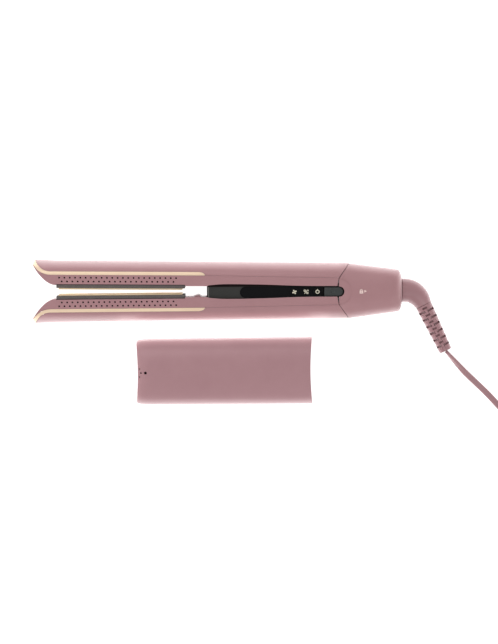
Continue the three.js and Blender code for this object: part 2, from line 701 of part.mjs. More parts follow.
// Slip-on cover for the plates

function travelCover() {
  const half = tipHalf + coverPlay + coverWall;
  const deep = middle + 0.7 + coverWall;
  const flat = flatFront + 1.5;
  const end = coverX + coverLength;
  const outer = form([
    { x: coverX - 0.1, half: half - 2, flat, deep: deep - 1.6 },
    { x: coverX + coverDip + 1.5, half: half - 0.8, flat, deep: deep - 0.2 },
    { x: end, half, flat, deep },
  ], 0, coverCentreY, deep);
  const inside = form([
    { x: coverX + coverDip, half: half - 0.8, flat, deep: deep - 0.2 },
    { x: end + 2 * coverWall, half, flat, deep },
  ], coverWall, coverCentreY, deep);
  const radius = (half ** 2 + coverDip ** 2) / (2 * coverDip);
  let body = outer.subtract(inside);
  for (const [x, out] of [[coverX + coverDip, -1], [end - coverDip, 1]]) {
    const cutter = new THREE.CylinderGeometry(radius, radius, 4 * deep, 128);
    cutter.rotateX(Math.PI / 2).translate(x + out * radius, coverCentreY, deep);
    body = body.subtract(solid(cutter));
  }
  // One vent goes through, and the small ones beside it are blind
  const ventX = coverX + coverDip + coverWall + coverVent;
  const blind = 3;
  const vents = [[0, 0, 1.3, deep], [-3.6, 0, 0.7, blind], [-4.8, 3.2, 0.7, blind],
    [-4.8, -3.2, 0.7, blind]];
  for (const [x, y, radiusOfVent, depth] of vents) {
    const at = [ventX + x, coverCentreY + y, 2 * deep - depth];
    body = body.subtract(bar('z', radiusOfVent, 2 * depth, at, 10));
  }
  return piece('travel_cover', body, 'shell');
}

// Assembly

const upperArm = new THREE.Group();
upperArm.rotation.z = -restAngle;
const lowerArm = new THREE.Group();

for (const [label, side, group] of [['upper', 1, upperArm], ['lower', -1, lowerArm]]) {
  group.add(
    outerShell(`${label}_outer_shell`, side),
    innerShell(`${label}_inner_shell`, side),
    trimBand(`${label}_trim_band`, side),
    innerCover(`${label}_inner_cover`, side, label === 'lower'),
    hingeBracket(`${label}_hinge_bracket`, side, label === 'upper' ? upperLevels : [lowerLevel]),
    plateHolder(`${label}_plate_holder`, side),
    plate(`${label}_plate`, side),
    heater(`${label}_heater`, side),
    plateSpring(`${label}_front_spring`, side, 0.2),
    plateSpring(`${label}_rear_spring`, side, 0.8),
    thermalFuse(`${label}_thermal_fuse`, side),
    blowerCase(`${label}_blower_case`, side),
    impeller(`${label}_impeller`, side),
  );
  coverScrewPlaces(side).forEach((from, i) => {
    const name = `${label}_${['front', 'rear'][i]}_screw`;
    group.add(screw(name, 'y', from, side, 9));
  });
}

const iron = new THREE.Group();
iron.add(
  upperArm, lowerArm, hingePin(), torsionSpring(),
  tailShell('tail_front_shell', true), tailShell('tail_back_shell', false),
  coreFrame(), coreBackCover(), displayLens(), controlBoard(), powerBoard(), lockSlider(),
  ...buttonNames.map((name, i) => button(name, buttonXs[i])),
  ...tailScrews.map(([x, y], i) => screw(`tail_screw_${i + 1}`, 'z', [x, y, 2], 1, 21)),
  swivelElbow(), ribbedRelief(),
  cordRun('cord_lead', cordRoute, 14, (at) => Math.PI / 2 * Math.max(0, 1 - at * 1.6)),
  coilRing(0, 'cord_coil'), coilTie(), cordRun('cord_end', plugRoute, 6),
  plugBody(), plugPin('plug_pin_1', 1), plugPin('plug_pin_2', -1),
  travelCover(),
);

export default iron;
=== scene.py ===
import json
import math

import bpy
import bmesh
from mathutils import Matrix, Vector


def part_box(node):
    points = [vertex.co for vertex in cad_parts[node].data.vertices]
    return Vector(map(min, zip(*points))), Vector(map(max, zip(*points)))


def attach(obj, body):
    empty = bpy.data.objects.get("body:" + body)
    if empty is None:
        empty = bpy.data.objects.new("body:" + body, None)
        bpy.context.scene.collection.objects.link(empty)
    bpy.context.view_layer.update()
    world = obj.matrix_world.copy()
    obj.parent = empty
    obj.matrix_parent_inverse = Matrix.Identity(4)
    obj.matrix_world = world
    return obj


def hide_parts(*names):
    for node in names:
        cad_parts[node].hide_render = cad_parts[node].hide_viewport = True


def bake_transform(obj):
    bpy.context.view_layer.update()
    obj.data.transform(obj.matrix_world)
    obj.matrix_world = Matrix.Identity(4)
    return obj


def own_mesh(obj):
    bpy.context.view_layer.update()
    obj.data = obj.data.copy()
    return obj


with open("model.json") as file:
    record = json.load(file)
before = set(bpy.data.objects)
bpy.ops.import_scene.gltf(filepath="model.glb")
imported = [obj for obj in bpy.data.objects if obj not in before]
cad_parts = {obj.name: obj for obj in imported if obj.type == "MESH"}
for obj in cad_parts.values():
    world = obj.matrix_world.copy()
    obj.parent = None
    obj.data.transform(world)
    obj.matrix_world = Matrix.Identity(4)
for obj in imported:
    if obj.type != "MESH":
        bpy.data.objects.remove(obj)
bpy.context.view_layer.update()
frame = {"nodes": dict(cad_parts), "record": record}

mm = 0.001


def boxMm(node):
    low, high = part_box(node)
    return Vector(low) / mm, Vector(high) / mm


# Places along the iron, in millimetres, read from the frame
holderBox = boxMm("lower_plate_holder")
coreBox = boxMm("core_frame")
coverBox = boxMm("travel_cover")
lensBox = boxMm("display_lens")
sliderBox = boxMm("lock_slider")
elbowBox = boxMm("swivel_elbow")

bodySizes = {
    "depth": 37.0, "wall": 2.2, "gap": 0.3, "seam": 0.12, "nose": 19.2,
    "tipHalf": 23.6, "frontHalf": 22.9, "seamHalf": 21.95, "tailHalf": 16.7,
    "flatFront": 11.8, "flatSeam": 10.4, "flatTail": 4.5, "trim": 2.8,
    "panelEdge": 4.4, "windowEdge": 3.3, "stripEdge": 4.0, "stripBulge": 1.0,
    "tailEnd": 12.4, "collar": 9.35, "restAngle": math.radians(0.8),
    "ovalPower": 2.7, "softening": 13.0, "seamReach": 8.5, "tailCorner": 2.8,
    "tipRound": 1.6, "tailRound": 9.4, "collarPlay": 0.5, "cornerPlay": 0.7,
    "roundPowers": (2.4, 0.62), "cornerPowers": (2.6, 0.8),
}
middle = bodySizes["depth"] / 2
holderX, holderEndX = holderBox[0].x, holderBox[1].x
coreX = coreBox[0].x
seamX = coreBox[1].x - 12
tipX = holderX - bodySizes["nose"]
tailEnd = bodySizes["tailEnd"]


# Meshes, in millimetres until they are finished

def meshObject(name, verts, faces):
    mesh = bpy.data.meshes.new(name)
    mesh.from_pydata([tuple(v) for v in verts], [], faces)
    mesh.update()
    obj = bpy.data.objects.new(name, mesh)
    bpy.context.scene.collection.objects.link(obj)
    return obj


def recalc(obj):
    bm = bmesh.new()
    bm.from_mesh(obj.data)
    bmesh.ops.remove_doubles(bm, verts=bm.verts, dist=1e-4)
    bmesh.ops.recalc_face_normals(bm, faces=bm.faces)
    bm.to_mesh(obj.data)
    bm.free()
    return obj


def rings(name, ringList, closed=False):
    # a closed skin over a row of rings with the same number of points
    count = len(ringList[0])
    verts = [p for ring in ringList for p in ring]
    faces = []
    last = len(ringList) if closed else len(ringList) - 1
    for r in range(last):
        a, b = r * count, (r + 1) % len(ringList) * count
        for i in range(count):
            j = (i + 1) % count
            faces.append((a + i, a + j, b + j, b + i))
    if not closed:
        faces.append(tuple(reversed(range(count))))
        faces.append(tuple(range(len(verts) - count, len(verts))))
    return recalc(meshObject(name, verts, faces))


def prism(points, low, high, name="prism"):
    return rings(name, [[(x, y, low) for x, y in points], [(x, y, high) for x, y in points]])


def block(x, y, z, name="block"):
    return prism([(x[0], y[0]), (x[1], y[0]), (x[1], y[1]), (x[0], y[1])], z[0], z[1], name)


def bar(axis, radius, length, start, sides=32, name="bar"):
    # a round bar along axis "x", "y" or "z"; radius is one number or one for each end
    radii = radius if isinstance(radius, tuple) else (radius, radius)
    out = []
    for end, r in zip((0, length), radii):
        ring = []
        for i in range(sides):
            a = 2 * math.pi * i / sides
            u, v = r * math.cos(a), r * math.sin(a)
            at = {"x": (end, u, v), "y": (v, end, u), "z": (u, v, end)}[axis]
            ring.append(tuple(s + d for s, d in zip(start, at)))
        out.append(ring)
    return rings(name, out)


def ring2d(radius, count, start=0.0, turn=2 * math.pi, centre=(0.0, 0.0)):
    closed = abs(turn - 2 * math.pi) < 1e-6
    steps = count if closed else count - 1
    return [(centre[0] + radius * math.cos(start + turn * i / steps),
             centre[1] + radius * math.sin(start + turn * i / steps)) for i in range(count)]


def evaluated(obj):
    graph = bpy.context.evaluated_depsgraph_get()
    mesh = bpy.data.meshes.new_from_object(obj.evaluated_get(graph))
    old = obj.data
    obj.modifiers.clear()
    obj.data = mesh
    bpy.data.meshes.remove(old)
    return obj


def combine(obj, other, how="DIFFERENCE", keep=False):
    mod = obj.modifiers.new("join", "BOOLEAN")
    mod.operation, mod.solver, mod.object = how, "MANIFOLD", other
    evaluated(obj)
    if not keep:
        bpy.data.objects.remove(other)
    return obj


def joined(name, parts):
    # several loose pieces in one mesh
    bm = bmesh.new()
    for part in parts:
        bm.from_mesh(part.data)
        bpy.data.objects.remove(part)
    mesh = bpy.data.meshes.new(name)
    bm.to_mesh(mesh)
    bm.free()
    obj = bpy.data.objects.new(name, mesh)
    bpy.context.scene.collection.objects.link(obj)
    return obj


def copyOf(obj, name):
    new = bpy.data.objects.new(name, obj.data.copy())
    bpy.context.scene.collection.objects.link(new)
    return new


def sectionRing(x, half, flat, deep, soft=0.0, steps=40):
    # flat on both sides and elliptical at both edges, or one soft oval all round
    ring = []
    power = 2 / bodySizes["ovalPower"]
    for side in (1, -1):
        for i in range(steps + 1):
            a = side * math.pi * (0.5 - (i + 0.001) / (steps + 0.002))
            y = flat + (half - flat) * math.cos(a)
            ovalY = half * abs(math.cos(a)) ** power
            sine = abs(math.sin(a))
            rise = sine + (sine ** power - sine) * soft
            ring.append((x, side * (y + (ovalY - y) * soft),
                         middle + deep * math.copysign(rise, math.sin(a))))
    return ring


def form(stations, inset):
    out = []
    last = len(stations) - 1
    for i, (x, half, flat, deep) in enumerate(stations):
        shift = inset if i == 0 else -inset if i == last else 0
        soft = min(1, max(0, (x - seamX + 2) / bodySizes["softening"]))
        soft = soft * soft * (3 - 2 * soft)
        out.append(sectionRing(x + shift, half - inset, flat, deep - inset, soft))
    return rings("form", out)


def curve2(start, control, end, steps=14):
    out = []
    for i in range(steps + 1):
        t = i / steps
        a, b, c = (1 - t) ** 2, 2 * t * (1 - t), t * t
        out.append((a * start[0] + b * control[0] + c * end[0],
                    a * start[1] + b * control[1] + c * end[1]))
    return out


def shifted(points, by):
    return [(x + by, y + by) for x, y in points]


def sided(points, side):
    return [(x, y * side) for x, y in points]


def smooth(obj, angle=35):
    bm = bmesh.new()
    bm.from_mesh(obj.data)
    bmesh.ops.dissolve_degenerate(bm, dist=1e-4, edges=bm.edges)
    for face in bm.faces:
        face.smooth = True
    for edge in bm.edges:
        sharp = len(edge.link_faces) != 2 or edge.calc_face_angle(0) > math.radians(angle)
        edge.smooth = not sharp
    bm.to_mesh(obj.data)
    bm.free()
    return obj


def bevelled(obj, width, segments=2, angle=40):
    mod = obj.modifiers.new("edge", "BEVEL")
    mod.width, mod.segments, mod.limit_method = width, segments, "ANGLE"
    mod.angle_limit = math.radians(angle)
    mod.use_clamp_overlap = True
    return evaluated(obj)


def finish(obj, name, material, body, replaced=(), turn=False, angle=35):
    # into metres, with its material, riding on its body
    matrix = Matrix.Scale(mm, 4)
    if turn:
        matrix = Matrix.Rotation(-bodySizes["restAngle"], 4, "Z") @ matrix
    obj.data.transform(matrix)
    obj.name = obj.data.name = name
    smooth(obj, angle)
    obj.data.materials.clear()
    obj.data.materials.append(material)
    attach(obj, body)
    if replaced:
        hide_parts(*replaced)
    return obj


# Materials

def makeGroup(name, inputs, outputs, build):
    group = bpy.data.node_groups.new(name, "ShaderNodeTree")
    for label, kind, value in inputs:
        socket = group.interface.new_socket(label, in_out="INPUT", socket_type=kind)
        socket.default_value = value
    for label, kind in outputs:
        group.interface.new_socket(label, in_out="OUTPUT", socket_type=kind)
    build(group, group.nodes.new("NodeGroupInput"), group.nodes.new("NodeGroupOutput"))
    return group


def node(tree, kind, links=None, **settings):
    # a new node, its settings by attribute, its inputs linked or set by name
    new = tree.nodes.new(kind)
    for key, value in settings.items():
        setattr(new, key, value)
    for key, value in (links or {}).items():
        if isinstance(value, bpy.types.NodeSocket):
            tree.links.new(value, new.inputs[key])
        else:
            new.inputs[key].default_value = value
    return new


def startTree(name, sizes, wholes=()):
    # a Geometry Nodes tree with one named input for each size
    tree = bpy.data.node_groups.new(name, "GeometryNodeTree")
    tree.interface.new_socket("Geometry", in_out="OUTPUT", socket_type="NodeSocketGeometry")
    for key in sizes:
        kind = "NodeSocketInt" if key in wholes else "NodeSocketFloat"
        tree.interface.new_socket(key, in_out="INPUT", socket_type=kind)
    given = tree.nodes.new("NodeGroupInput")
    take = lambda key: given.outputs[key]
    maths = lambda how, *values: node(tree, "ShaderNodeMath", dict(enumerate(values)),
                                      operation=how).outputs[0]
    vector = lambda **axes: node(tree, "ShaderNodeCombineXYZ", axes).outputs[0]
    return tree, take, maths, vector


def endTree(tree, geometry, material):
    # real meshes, all with one material
    real = node(tree, "GeometryNodeRealizeInstances", {0: geometry})
    inked = node(tree, "GeometryNodeSetMaterial", {"Geometry": real.outputs[0]})
    inked.inputs["Material"].default_value = material
    out = tree.nodes.new("NodeGroupOutput")
    tree.links.new(inked.outputs[0], out.inputs[0])


def fromNodes(name, tree, values):
    # a mesh made by a Geometry Nodes tree, with its named inputs set
    obj = meshObject(name, [], [])
    mod = obj.modifiers.new("make", "NODES")
    mod.node_group = tree
    for item in tree.interface.items_tree:
        if item.in_out == "INPUT" and item.name in values:
            mod[item.identifier] = values[item.name]
    return evaluated(obj)


def buildGrain(tree, given, out):
    # a fine mould or paint grain: a height, and a mottle for colour and gloss
    coord = node(tree, "ShaderNodeTexCoord")
    fine = node(tree, "ShaderNodeTexNoise", {"Vector": coord.outputs["Object"],
                "Scale": given.outputs["Grain Scale"], "Detail": 3.0, "Roughness": 0.6})
    large = node(tree, "ShaderNodeTexNoise", {"Vector": coord.outputs["Object"],
                 "Scale": given.outputs["Mottle Scale"], "Detail": 4.0, "Roughness": 0.55})
    dark = node(tree, "ShaderNodeMapRange", {"Value": large.outputs["Fac"], "From Min": 0.3,
                "From Max": 0.7, "To Min": 0.0, "To Max": 1.0})
    mixed = node(tree, "ShaderNodeMix", {"Factor": dark.outputs["Result"],
                 "A": given.outputs["Colour"], "B": given.outputs["Second Colour"]},
                 data_type="RGBA")
    speck = node(tree, "ShaderNodeMapRange", {"Value": fine.outputs["Fac"], "From Min": 0.56,
                 "From Max": 0.68, "To Min": 0.0, "To Max": 1.0})
    part = node(tree, "ShaderNodeMath", {0: speck.outputs["Result"],
                1: given.outputs["Speck Amount"]}, operation="MULTIPLY")
    final = node(tree, "ShaderNodeMix", {"Factor": part.outputs[0],
                 "A": mixed.outputs["Result"], "B": given.outputs["Speck Colour"]},
                 data_type="RGBA")
    spread = node(tree, "ShaderNodeMath", {0: fine.outputs["Fac"],
                  1: given.outputs["Roughness Spread"], 2: given.outputs["Roughness"]},
                  operation="MULTIPLY_ADD")
    half = node(tree, "ShaderNodeMath", {0: given.outputs["Roughness Spread"], 1: -0.5,
                2: spread.outputs[0]}, operation="MULTIPLY_ADD")
    tree.links.new(final.outputs["Result"], out.inputs["Colour"])
    tree.links.new(half.outputs[0], out.inputs["Roughness"])
    tree.links.new(fine.outputs["Fac"], out.inputs["Height"])


def buildWear(tree, given, out):
    # smudges and hair-fine rubs that change the gloss
    coord = node(tree, "ShaderNodeTexCoord")
    smear = node(tree, "ShaderNodeTexNoise", {"Vector": coord.outputs["Object"],
                 "Scale": given.outputs["Smudge Scale"], "Detail": 6.0, "Distortion": 1.2})
    stretch = node(tree, "ShaderNodeMapping", {"Vector": coord.outputs["Object"],
                   "Scale": (40.0, 900.0, 900.0)})
    rubs = node(tree, "ShaderNodeTexNoise", {"Vector": stretch.outputs["Vector"],
                "Scale": 1.0, "Detail": 2.0})
    first = node(tree, "ShaderNodeMapRange", {"Value": smear.outputs["Fac"], "From Min": 0.4,
                 "From Max": 0.75, "To Min": 0.0, "To Max": 1.0})
    both = node(tree, "ShaderNodeMath", {0: first.outputs["Result"], 1: rubs.outputs["Fac"]},
                operation="MULTIPLY")
    scaled = node(tree, "ShaderNodeMath", {0: both.outputs[0], 1: given.outputs["Amount"],
                  2: given.outputs["Roughness"]}, operation="MULTIPLY_ADD")
    tree.links.new(scaled.outputs[0], out.inputs["Roughness"])


grainGroup = makeGroup("surfaceGrain", [
    ("Colour", "NodeSocketColor", (0.5, 0.5, 0.5, 1)),
    ("Second Colour", "NodeSocketColor", (0.5, 0.5, 0.5, 1)),
    ("Speck Colour", "NodeSocketColor", (0.5, 0.5, 0.5, 1)),
    ("Speck Amount", "NodeSocketFloat", 0.0),
    ("Grain Scale", "NodeSocketFloat", 4000.0),
    ("Mottle Scale", "NodeSocketFloat", 60.0),
    ("Roughness", "NodeSocketFloat", 0.5),
    ("Roughness Spread", "NodeSocketFloat", 0.1)],
    [("Colour", "NodeSocketColor"), ("Roughness", "NodeSocketFloat"),
     ("Height", "NodeSocketFloat")], buildGrain)
wearGroup = makeGroup("handWear", [
    ("Roughness", "NodeSocketFloat", 0.4),
    ("Smudge Scale", "NodeSocketFloat", 55.0),
    ("Amount", "NodeSocketFloat", 0.2)],
    [("Roughness", "NodeSocketFloat")], buildWear)


def makeMaterial(name, colour, second=None, speck=None, speckAmount=0.0, grain=4000.0,
                 mottle=60.0, roughness=0.5, spread=0.1, bump=0.02, wear=0.1, metallic=0.0,
                 coat=0.0, coatRoughness=0.1, specular=0.5, sheen=0.0, emission=None):
    material = bpy.data.materials.new(name)
    material.use_nodes = True
    tree = material.node_tree
    shader = tree.nodes["Principled BSDF"]
    toColour = lambda c: (*c, 1.0)
    grainNode = node(tree, "ShaderNodeGroup", node_tree=grainGroup)
    values = {"Colour": toColour(colour), "Second Colour": toColour(second or colour),
              "Speck Colour": toColour(speck or colour), "Speck Amount": speckAmount,
              "Grain Scale": grain, "Mottle Scale": mottle, "Roughness": roughness,
              "Roughness Spread": spread}
    for key, value in values.items():
        grainNode.inputs[key].default_value = value
    wearNode = node(tree, "ShaderNodeGroup", node_tree=wearGroup)
    wearNode.inputs["Amount"].default_value = wear
    tree.links.new(grainNode.outputs["Roughness"], wearNode.inputs["Roughness"])
    bumpNode = node(tree, "ShaderNodeBump", {"Strength": bump, "Distance": 0.0002,
                    "Height": grainNode.outputs["Height"]})
    tree.links.new(grainNode.outputs["Colour"], shader.inputs["Base Color"])
    tree.links.new(wearNode.outputs["Roughness"], shader.inputs["Roughness"])
    tree.links.new(bumpNode.outputs["Normal"], shader.inputs["Normal"])
    shader.inputs["Metallic"].default_value = metallic
    shader.inputs["Coat Weight"].default_value = coat
    shader.inputs["Coat Roughness"].default_value = coatRoughness
    shader.inputs["Specular IOR Level"].default_value = specular
    shader.inputs["Sheen Weight"].default_value = sheen
    if emission:
        shader.inputs["Emission Color"].default_value = toColour(emission[0])
        shader.inputs["Emission Strength"].default_value = emission[1]
    return material


mauve = makeMaterial("mauveLacquer", (0.357, 0.178, 0.190), second=(0.377, 0.191, 0.203),
                     speck=(0.52, 0.34, 0.35), speckAmount=0.35, grain=5200.0, roughness=0.45,
                     spread=0.12, bump=0.08, wear=0.08, metallic=0.1, coat=0.1,
                     coatRoughness=0.3, sheen=0.3)
coverMauve = makeMaterial("mauveCoverLacquer", (0.365, 0.190, 0.208),
                          second=(0.385, 0.205, 0.222), speck=(0.52, 0.34, 0.35),
                          speckAmount=0.3, grain=5200.0, roughness=0.45, spread=0.12,
                          bump=0.08, wear=0.08, metallic=0.1, coat=0.1, coatRoughness=0.3,
                          sheen=0.3)
champagne = makeMaterial("champagneTrim", (0.80, 0.60, 0.42), second=(0.84, 0.64, 0.46),
                         grain=6500.0, roughness=0.42, spread=0.1, bump=0.03, wear=0.06,
                         metallic=0.2, coat=0.1)
plateGold = makeMaterial("plateCoating", (0.84, 0.64, 0.40), second=(0.88, 0.69, 0.46),
                         grain=7000.0, roughness=0.3, spread=0.08, bump=0.02, wear=0.1,
                         metallic=0.35)
holderGrey = makeMaterial("plateHolderGrey", (0.075, 0.062, 0.058), second=(0.095, 0.080, 0.075),
                          speck=(0.30, 0.25, 0.24), speckAmount=0.5, grain=2600.0,
                          mottle=260.0, roughness=0.62, spread=0.2, bump=0.3, wear=0.05)
charcoal = makeMaterial("coreCharcoal", (0.024, 0.024, 0.022), second=(0.029, 0.029, 0.027),
                        grain=3800.0, roughness=0.58, spread=0.14, bump=0.15, wear=0.08,
                        specular=0.3)
glossBlack = makeMaterial("lensBlack", (0.0035, 0.0035, 0.0042), second=(0.0045, 0.0045, 0.005),
                          grain=900.0, roughness=0.09, spread=0.03, bump=0.0, wear=0.12,
                          specular=0.1)
sliderGrey = makeMaterial("sliderGrey", (0.033, 0.037, 0.036), second=(0.039, 0.043, 0.042),
                          grain=3600.0, roughness=0.45, spread=0.12, bump=0.1, specular=0.35)
# the icon print is given a faint glow of its own: painted brightness, not a lamp
iconInkPaintedGlow = makeMaterial("iconInkPaintedGlow", (0.64, 0.61, 0.48), grain=3000.0, roughness=0.5,
                       emission=((0.66, 0.62, 0.49), 0.12))
lockInk = makeMaterial("lockInk", (0.78, 0.60, 0.56), grain=3000.0, roughness=0.5)
rubber = makeMaterial("mauveRubber", (0.335, 0.172, 0.187), second=(0.355, 0.187, 0.20),
                      grain=3000.0, roughness=0.34, spread=0.12, bump=0.06, wear=0.1,
                      specular=0.6)
# near-black maroon for the painted shade seen inside the vents and the relief's slots
shadeMaroon = makeMaterial("slotShadeMaroon", (0.022, 0.005, 0.007), grain=2000.0, roughness=0.8,
                          specular=0.2)
cordRubber = makeMaterial("cordJacket", (0.335, 0.178, 0.192), second=(0.36, 0.195, 0.208),
                          grain=2500.0, roughness=0.45, spread=0.12, bump=0.08, wear=0.12)
steel = makeMaterial("brightSteel", (0.55, 0.55, 0.57), grain=2500.0, roughness=0.3,
                     spread=0.12, bump=0.05, metallic=1.0)
brassPin = makeMaterial("pinPlating", (0.62, 0.55, 0.40), grain=2500.0, roughness=0.28,
                        spread=0.1, bump=0.03, metallic=1.0)
ceramic = makeMaterial("heaterCeramic", (0.78, 0.74, 0.66), second=(0.70, 0.66, 0.58),
                       grain=1800.0, roughness=0.7, spread=0.15, bump=0.2)
darkPlastic = makeMaterial("innerBlack", (0.018, 0.018, 0.020), grain=2600.0, roughness=0.6,
                           spread=0.15, bump=0.15)
# near-black for the painted shade behind the gaps beside the control strip and in the tail seam
stripShadeBlack = makeMaterial("stripShadeBlack", (0.010, 0.006, 0.006), grain=2600.0, roughness=0.8,
                         specular=0.1)
boardGreen = makeMaterial("boardLacquer", (0.02, 0.11, 0.045), second=(0.03, 0.15, 0.06),
                          grain=1500.0, mottle=400.0, roughness=0.4, spread=0.1)
print("materials made")


# Camera, floor and light

cameraSizes = {"target": (-110.2, -23.94, 28.0), "distance": 2600.0, "frameHeight": 515.2,
               "roll": math.radians(0.55), "tilt": math.radians(2.5)}
camera = bpy.data.objects.new("camera", bpy.data.cameras.new("camera"))
bpy.context.scene.collection.objects.link(camera)
camera.rotation_euler = (-cameraSizes["tilt"], 0, -cameraSizes["roll"])
backward = camera.rotation_euler.to_matrix() @ Vector((0, 0, cameraSizes["distance"]))
camera.location = (Vector(cameraSizes["target"]) + backward) * mm
camera.data.sensor_width = 36
camera.data.sensor_fit = "AUTO"
camera.data.lens = 36 * cameraSizes["distance"] / cameraSizes["frameHeight"]
camera.data.clip_end = 20
bpy.context.scene.camera = camera

floorSizes = {"reach": 3.0, "below": 0.0004, "seenGlow": 1.0, "castGlow": 2.0}
reach, below = floorSizes["reach"], -floorSizes["below"]
floor = meshObject("floor", [(-reach, -reach, below), (reach, -reach, below),
                             (reach, reach, below), (-reach, reach, below)], [(0, 1, 2, 3)])
floorMaterial = makeMaterial("paleFloor", (0.35, 0.35, 0.35), roughness=0.9, grain=300.0,
                             bump=0.0, wear=0.0, specular=0.0,
                             emission=((1, 1, 1), floorSizes["castGlow"]))
# it lights the sides of the iron more than it shows
floorTree = floorMaterial.node_tree
seen = node(floorTree, "ShaderNodeLightPath").outputs["Is Camera Ray"]
glow = node(floorTree, "ShaderNodeMath",
            {0: seen, 1: floorSizes["seenGlow"] - floorSizes["castGlow"],
             2: floorSizes["castGlow"]}, operation="MULTIPLY_ADD")
floorTree.links.new(glow.outputs[0], floorTree.nodes["Principled BSDF"].inputs["Emission Strength"])
floor.data.materials.append(floorMaterial)

worldGlow = 0.67
world = bpy.data.worlds.new("studio")
bpy.context.scene.world = world
world.use_nodes = True
world.node_tree.nodes["Background"].inputs["Color"].default_value = (1, 1, 1, 1)
world.node_tree.nodes["Background"].inputs["Strength"].default_value = worldGlow


# place, size, watts, and for the hidden strips between the iron and its cover the way they face
lightSizes = {"keyLight": ((-0.5, 0.9, 1.3), 0.9, 4.4, None),
              "fillLight": ((0.7, -0.9, 1.2), 1.2, 4.4, None),
              "endLight": ((-1.2, -0.05, 0.28), 0.8, 4.8, None),
              "ironEdgeLight": ((-0.13, -0.0305, 0.024), 0.17, 0.011, (0, 1, 0)),
              "coverEdgeLight": ((-0.13, -0.0295, 0.024), 0.17, 0.013, (0, -1, 0))}
stripHeight, lightTarget = 0.03, (-0.1, -0.02, 0)


def softLight(name, place, size, watts, faces):
    light = bpy.data.lights.new(name, "AREA")
    light.shape, light.size, light.energy = "RECTANGLE" if faces else "DISK", size, watts
    obj = bpy.data.objects.new(name, light)
    bpy.context.scene.collection.objects.link(obj)
    obj.location = place
    if faces:
        light.size_y = stripHeight
        obj.visible_camera = False
    way = Vector(faces) if faces else Vector(lightTarget) - Vector(place)
    obj.rotation_euler = way.to_track_quat("-Z", "Z" if faces else "Y").to_euler()


for name, values in lightSizes.items():
    softLight(name, *values)
bpy.context.scene.view_settings.view_transform = "Standard"
print("camera, floor and lights set")


# Cord: lead, coil and end run on one smooth line

cordSizes = {"width": 5.0, "thickness": 3.0, "length": 2500.0, "coilCentre": (140.0, -94.3),
             "turnRadius": 37.0, "columns": 4, "layers": 4, "floor": 1.3,
             "twistSteps": 13}
cordRoute = [(48.0, -49.5, 18.5), (50.2, -52.0, 18.1), (54.6, -57.0, 16.8),
             (58.3, -61.2, 15.0), (61.9, -65.2, 12.4), (66.0, -69.4, 9.5), (70.8, -74.0, 6.8),
             (76.4, -79.4, 4.5), (82.2, -85.2, 3.3), (87.8, -91.2, 2.9), (97.5, -102.0, 2.9),
             (104, -109.3, 2.9)]
plugRoute = [(177, -84.3, 12.7), (177, -79.3, 12.3), (177, -73.3, 10.9), (177, -66.3, 8.6),
             (177, -61.3, 7.4), (177, -57.8, 7)]


def coilLine(sizes):
    # in and out across the columns, one layer on the next
    pitch = (sizes["width"] + 0.2, sizes["thickness"] + 0.25)
    outer = sizes["turnRadius"]
    inner = outer - (sizes["columns"] - 0.65) * pitch[0]
    start = math.radians(-139.6)
    first = pitch[1] / 2 + sizes["floor"]
    angleEnd = 2 * math.pi * sizes["layers"] * sizes["columns"] * sizes["turnShare"]
    total = angleEnd + (0 - start) % (2 * math.pi) - angleEnd % (2 * math.pi)
    steps = int(total / math.radians(7.5))
    line = []
    for i in range(steps + 1):
        share = i / steps * sizes["layers"]
        layer = min(int(share), sizes["layers"] - 1)
        part = share - layer
        radius = outer + (inner - outer) * (part if layer % 2 == 0 else 1 - part)
        rise = min(1.0, max(0.0, (part - 0.93) / 0.07)) if layer < sizes["layers"] - 1 else 0
        rise = rise * rise * (3 - 2 * rise)
        angle = start + total * i / steps
        line.append((sizes["coilCentre"][0] + radius * math.cos(angle),
                     sizes["coilCentre"][1] + radius * math.sin(angle),
                     first + (layer + rise) * pitch[1]))
    return line


def lineLength(points):
    return sum((Vector(b) - Vector(a)).length for a, b in zip(points, points[1:]))


def smoothLine(points, step):
    # Catmull-Rom through the points, then evenly spaced
    dense = []
    for i in range(len(points) - 1):
        p = [Vector(points[max(0, min(len(points) - 1, i + k))]) for k in (-1, 0, 1, 2)]
        for s in range(12):
            t = s / 12
            dense.append(0.5 * ((2 * p[1]) + (p[2] - p[0]) * t
                                + (2 * p[0] - 5 * p[1] + 4 * p[2] - p[3]) * t ** 2
                                + (3 * p[1] - p[0] - 3 * p[2] + p[3]) * t ** 3))
    dense.append(Vector(points[-1]))
    lengths = [0.0]
    for a, b in zip(dense, dense[1:]):
        lengths.append(lengths[-1] + (b - a).length)
    count = int(lengths[-1] / step)
    out, k = [], 0
    for i in range(count + 1):
        at = lengths[-1] * i / count
        while k < len(dense) - 2 and lengths[k + 1] < at:
            k += 1
        span = max(lengths[k + 1] - lengths[k], 1e-9)
        out.append(dense[k].lerp(dense[k + 1], (at - lengths[k]) / span))
    return out


def cordPath(sizes):
    # the turns take up whatever length the two runs leave
    low, high = 0.6, 1.1
    for _ in range(24):
        sizes["turnShare"] = (low + high) / 2
        points = cordRoute + coilLine(sizes)[1:] + plugRoute
        if lineLength(points) < sizes["length"]:
            low = sizes["turnShare"]
        else:
            high = sizes["turnShare"]
    return smoothLine(points, 2.2)


def flatSection(sizes, lobes=24):
    # two round wires side by side under one jacket
    half, thick = sizes["width"] / 2, sizes["thickness"] / 2
    out = []
    for i in range(lobes):
        a = 2 * math.pi * (i + 0.5) / lobes
        c, s = math.cos(a), math.sin(a)
        waist = 1 - 0.16 * math.exp(-(c * half / 0.7) ** 2)
        out.append((half * abs(c) ** 0.75 * (1 if c > 0 else -1), thick * s * waist))
    return out


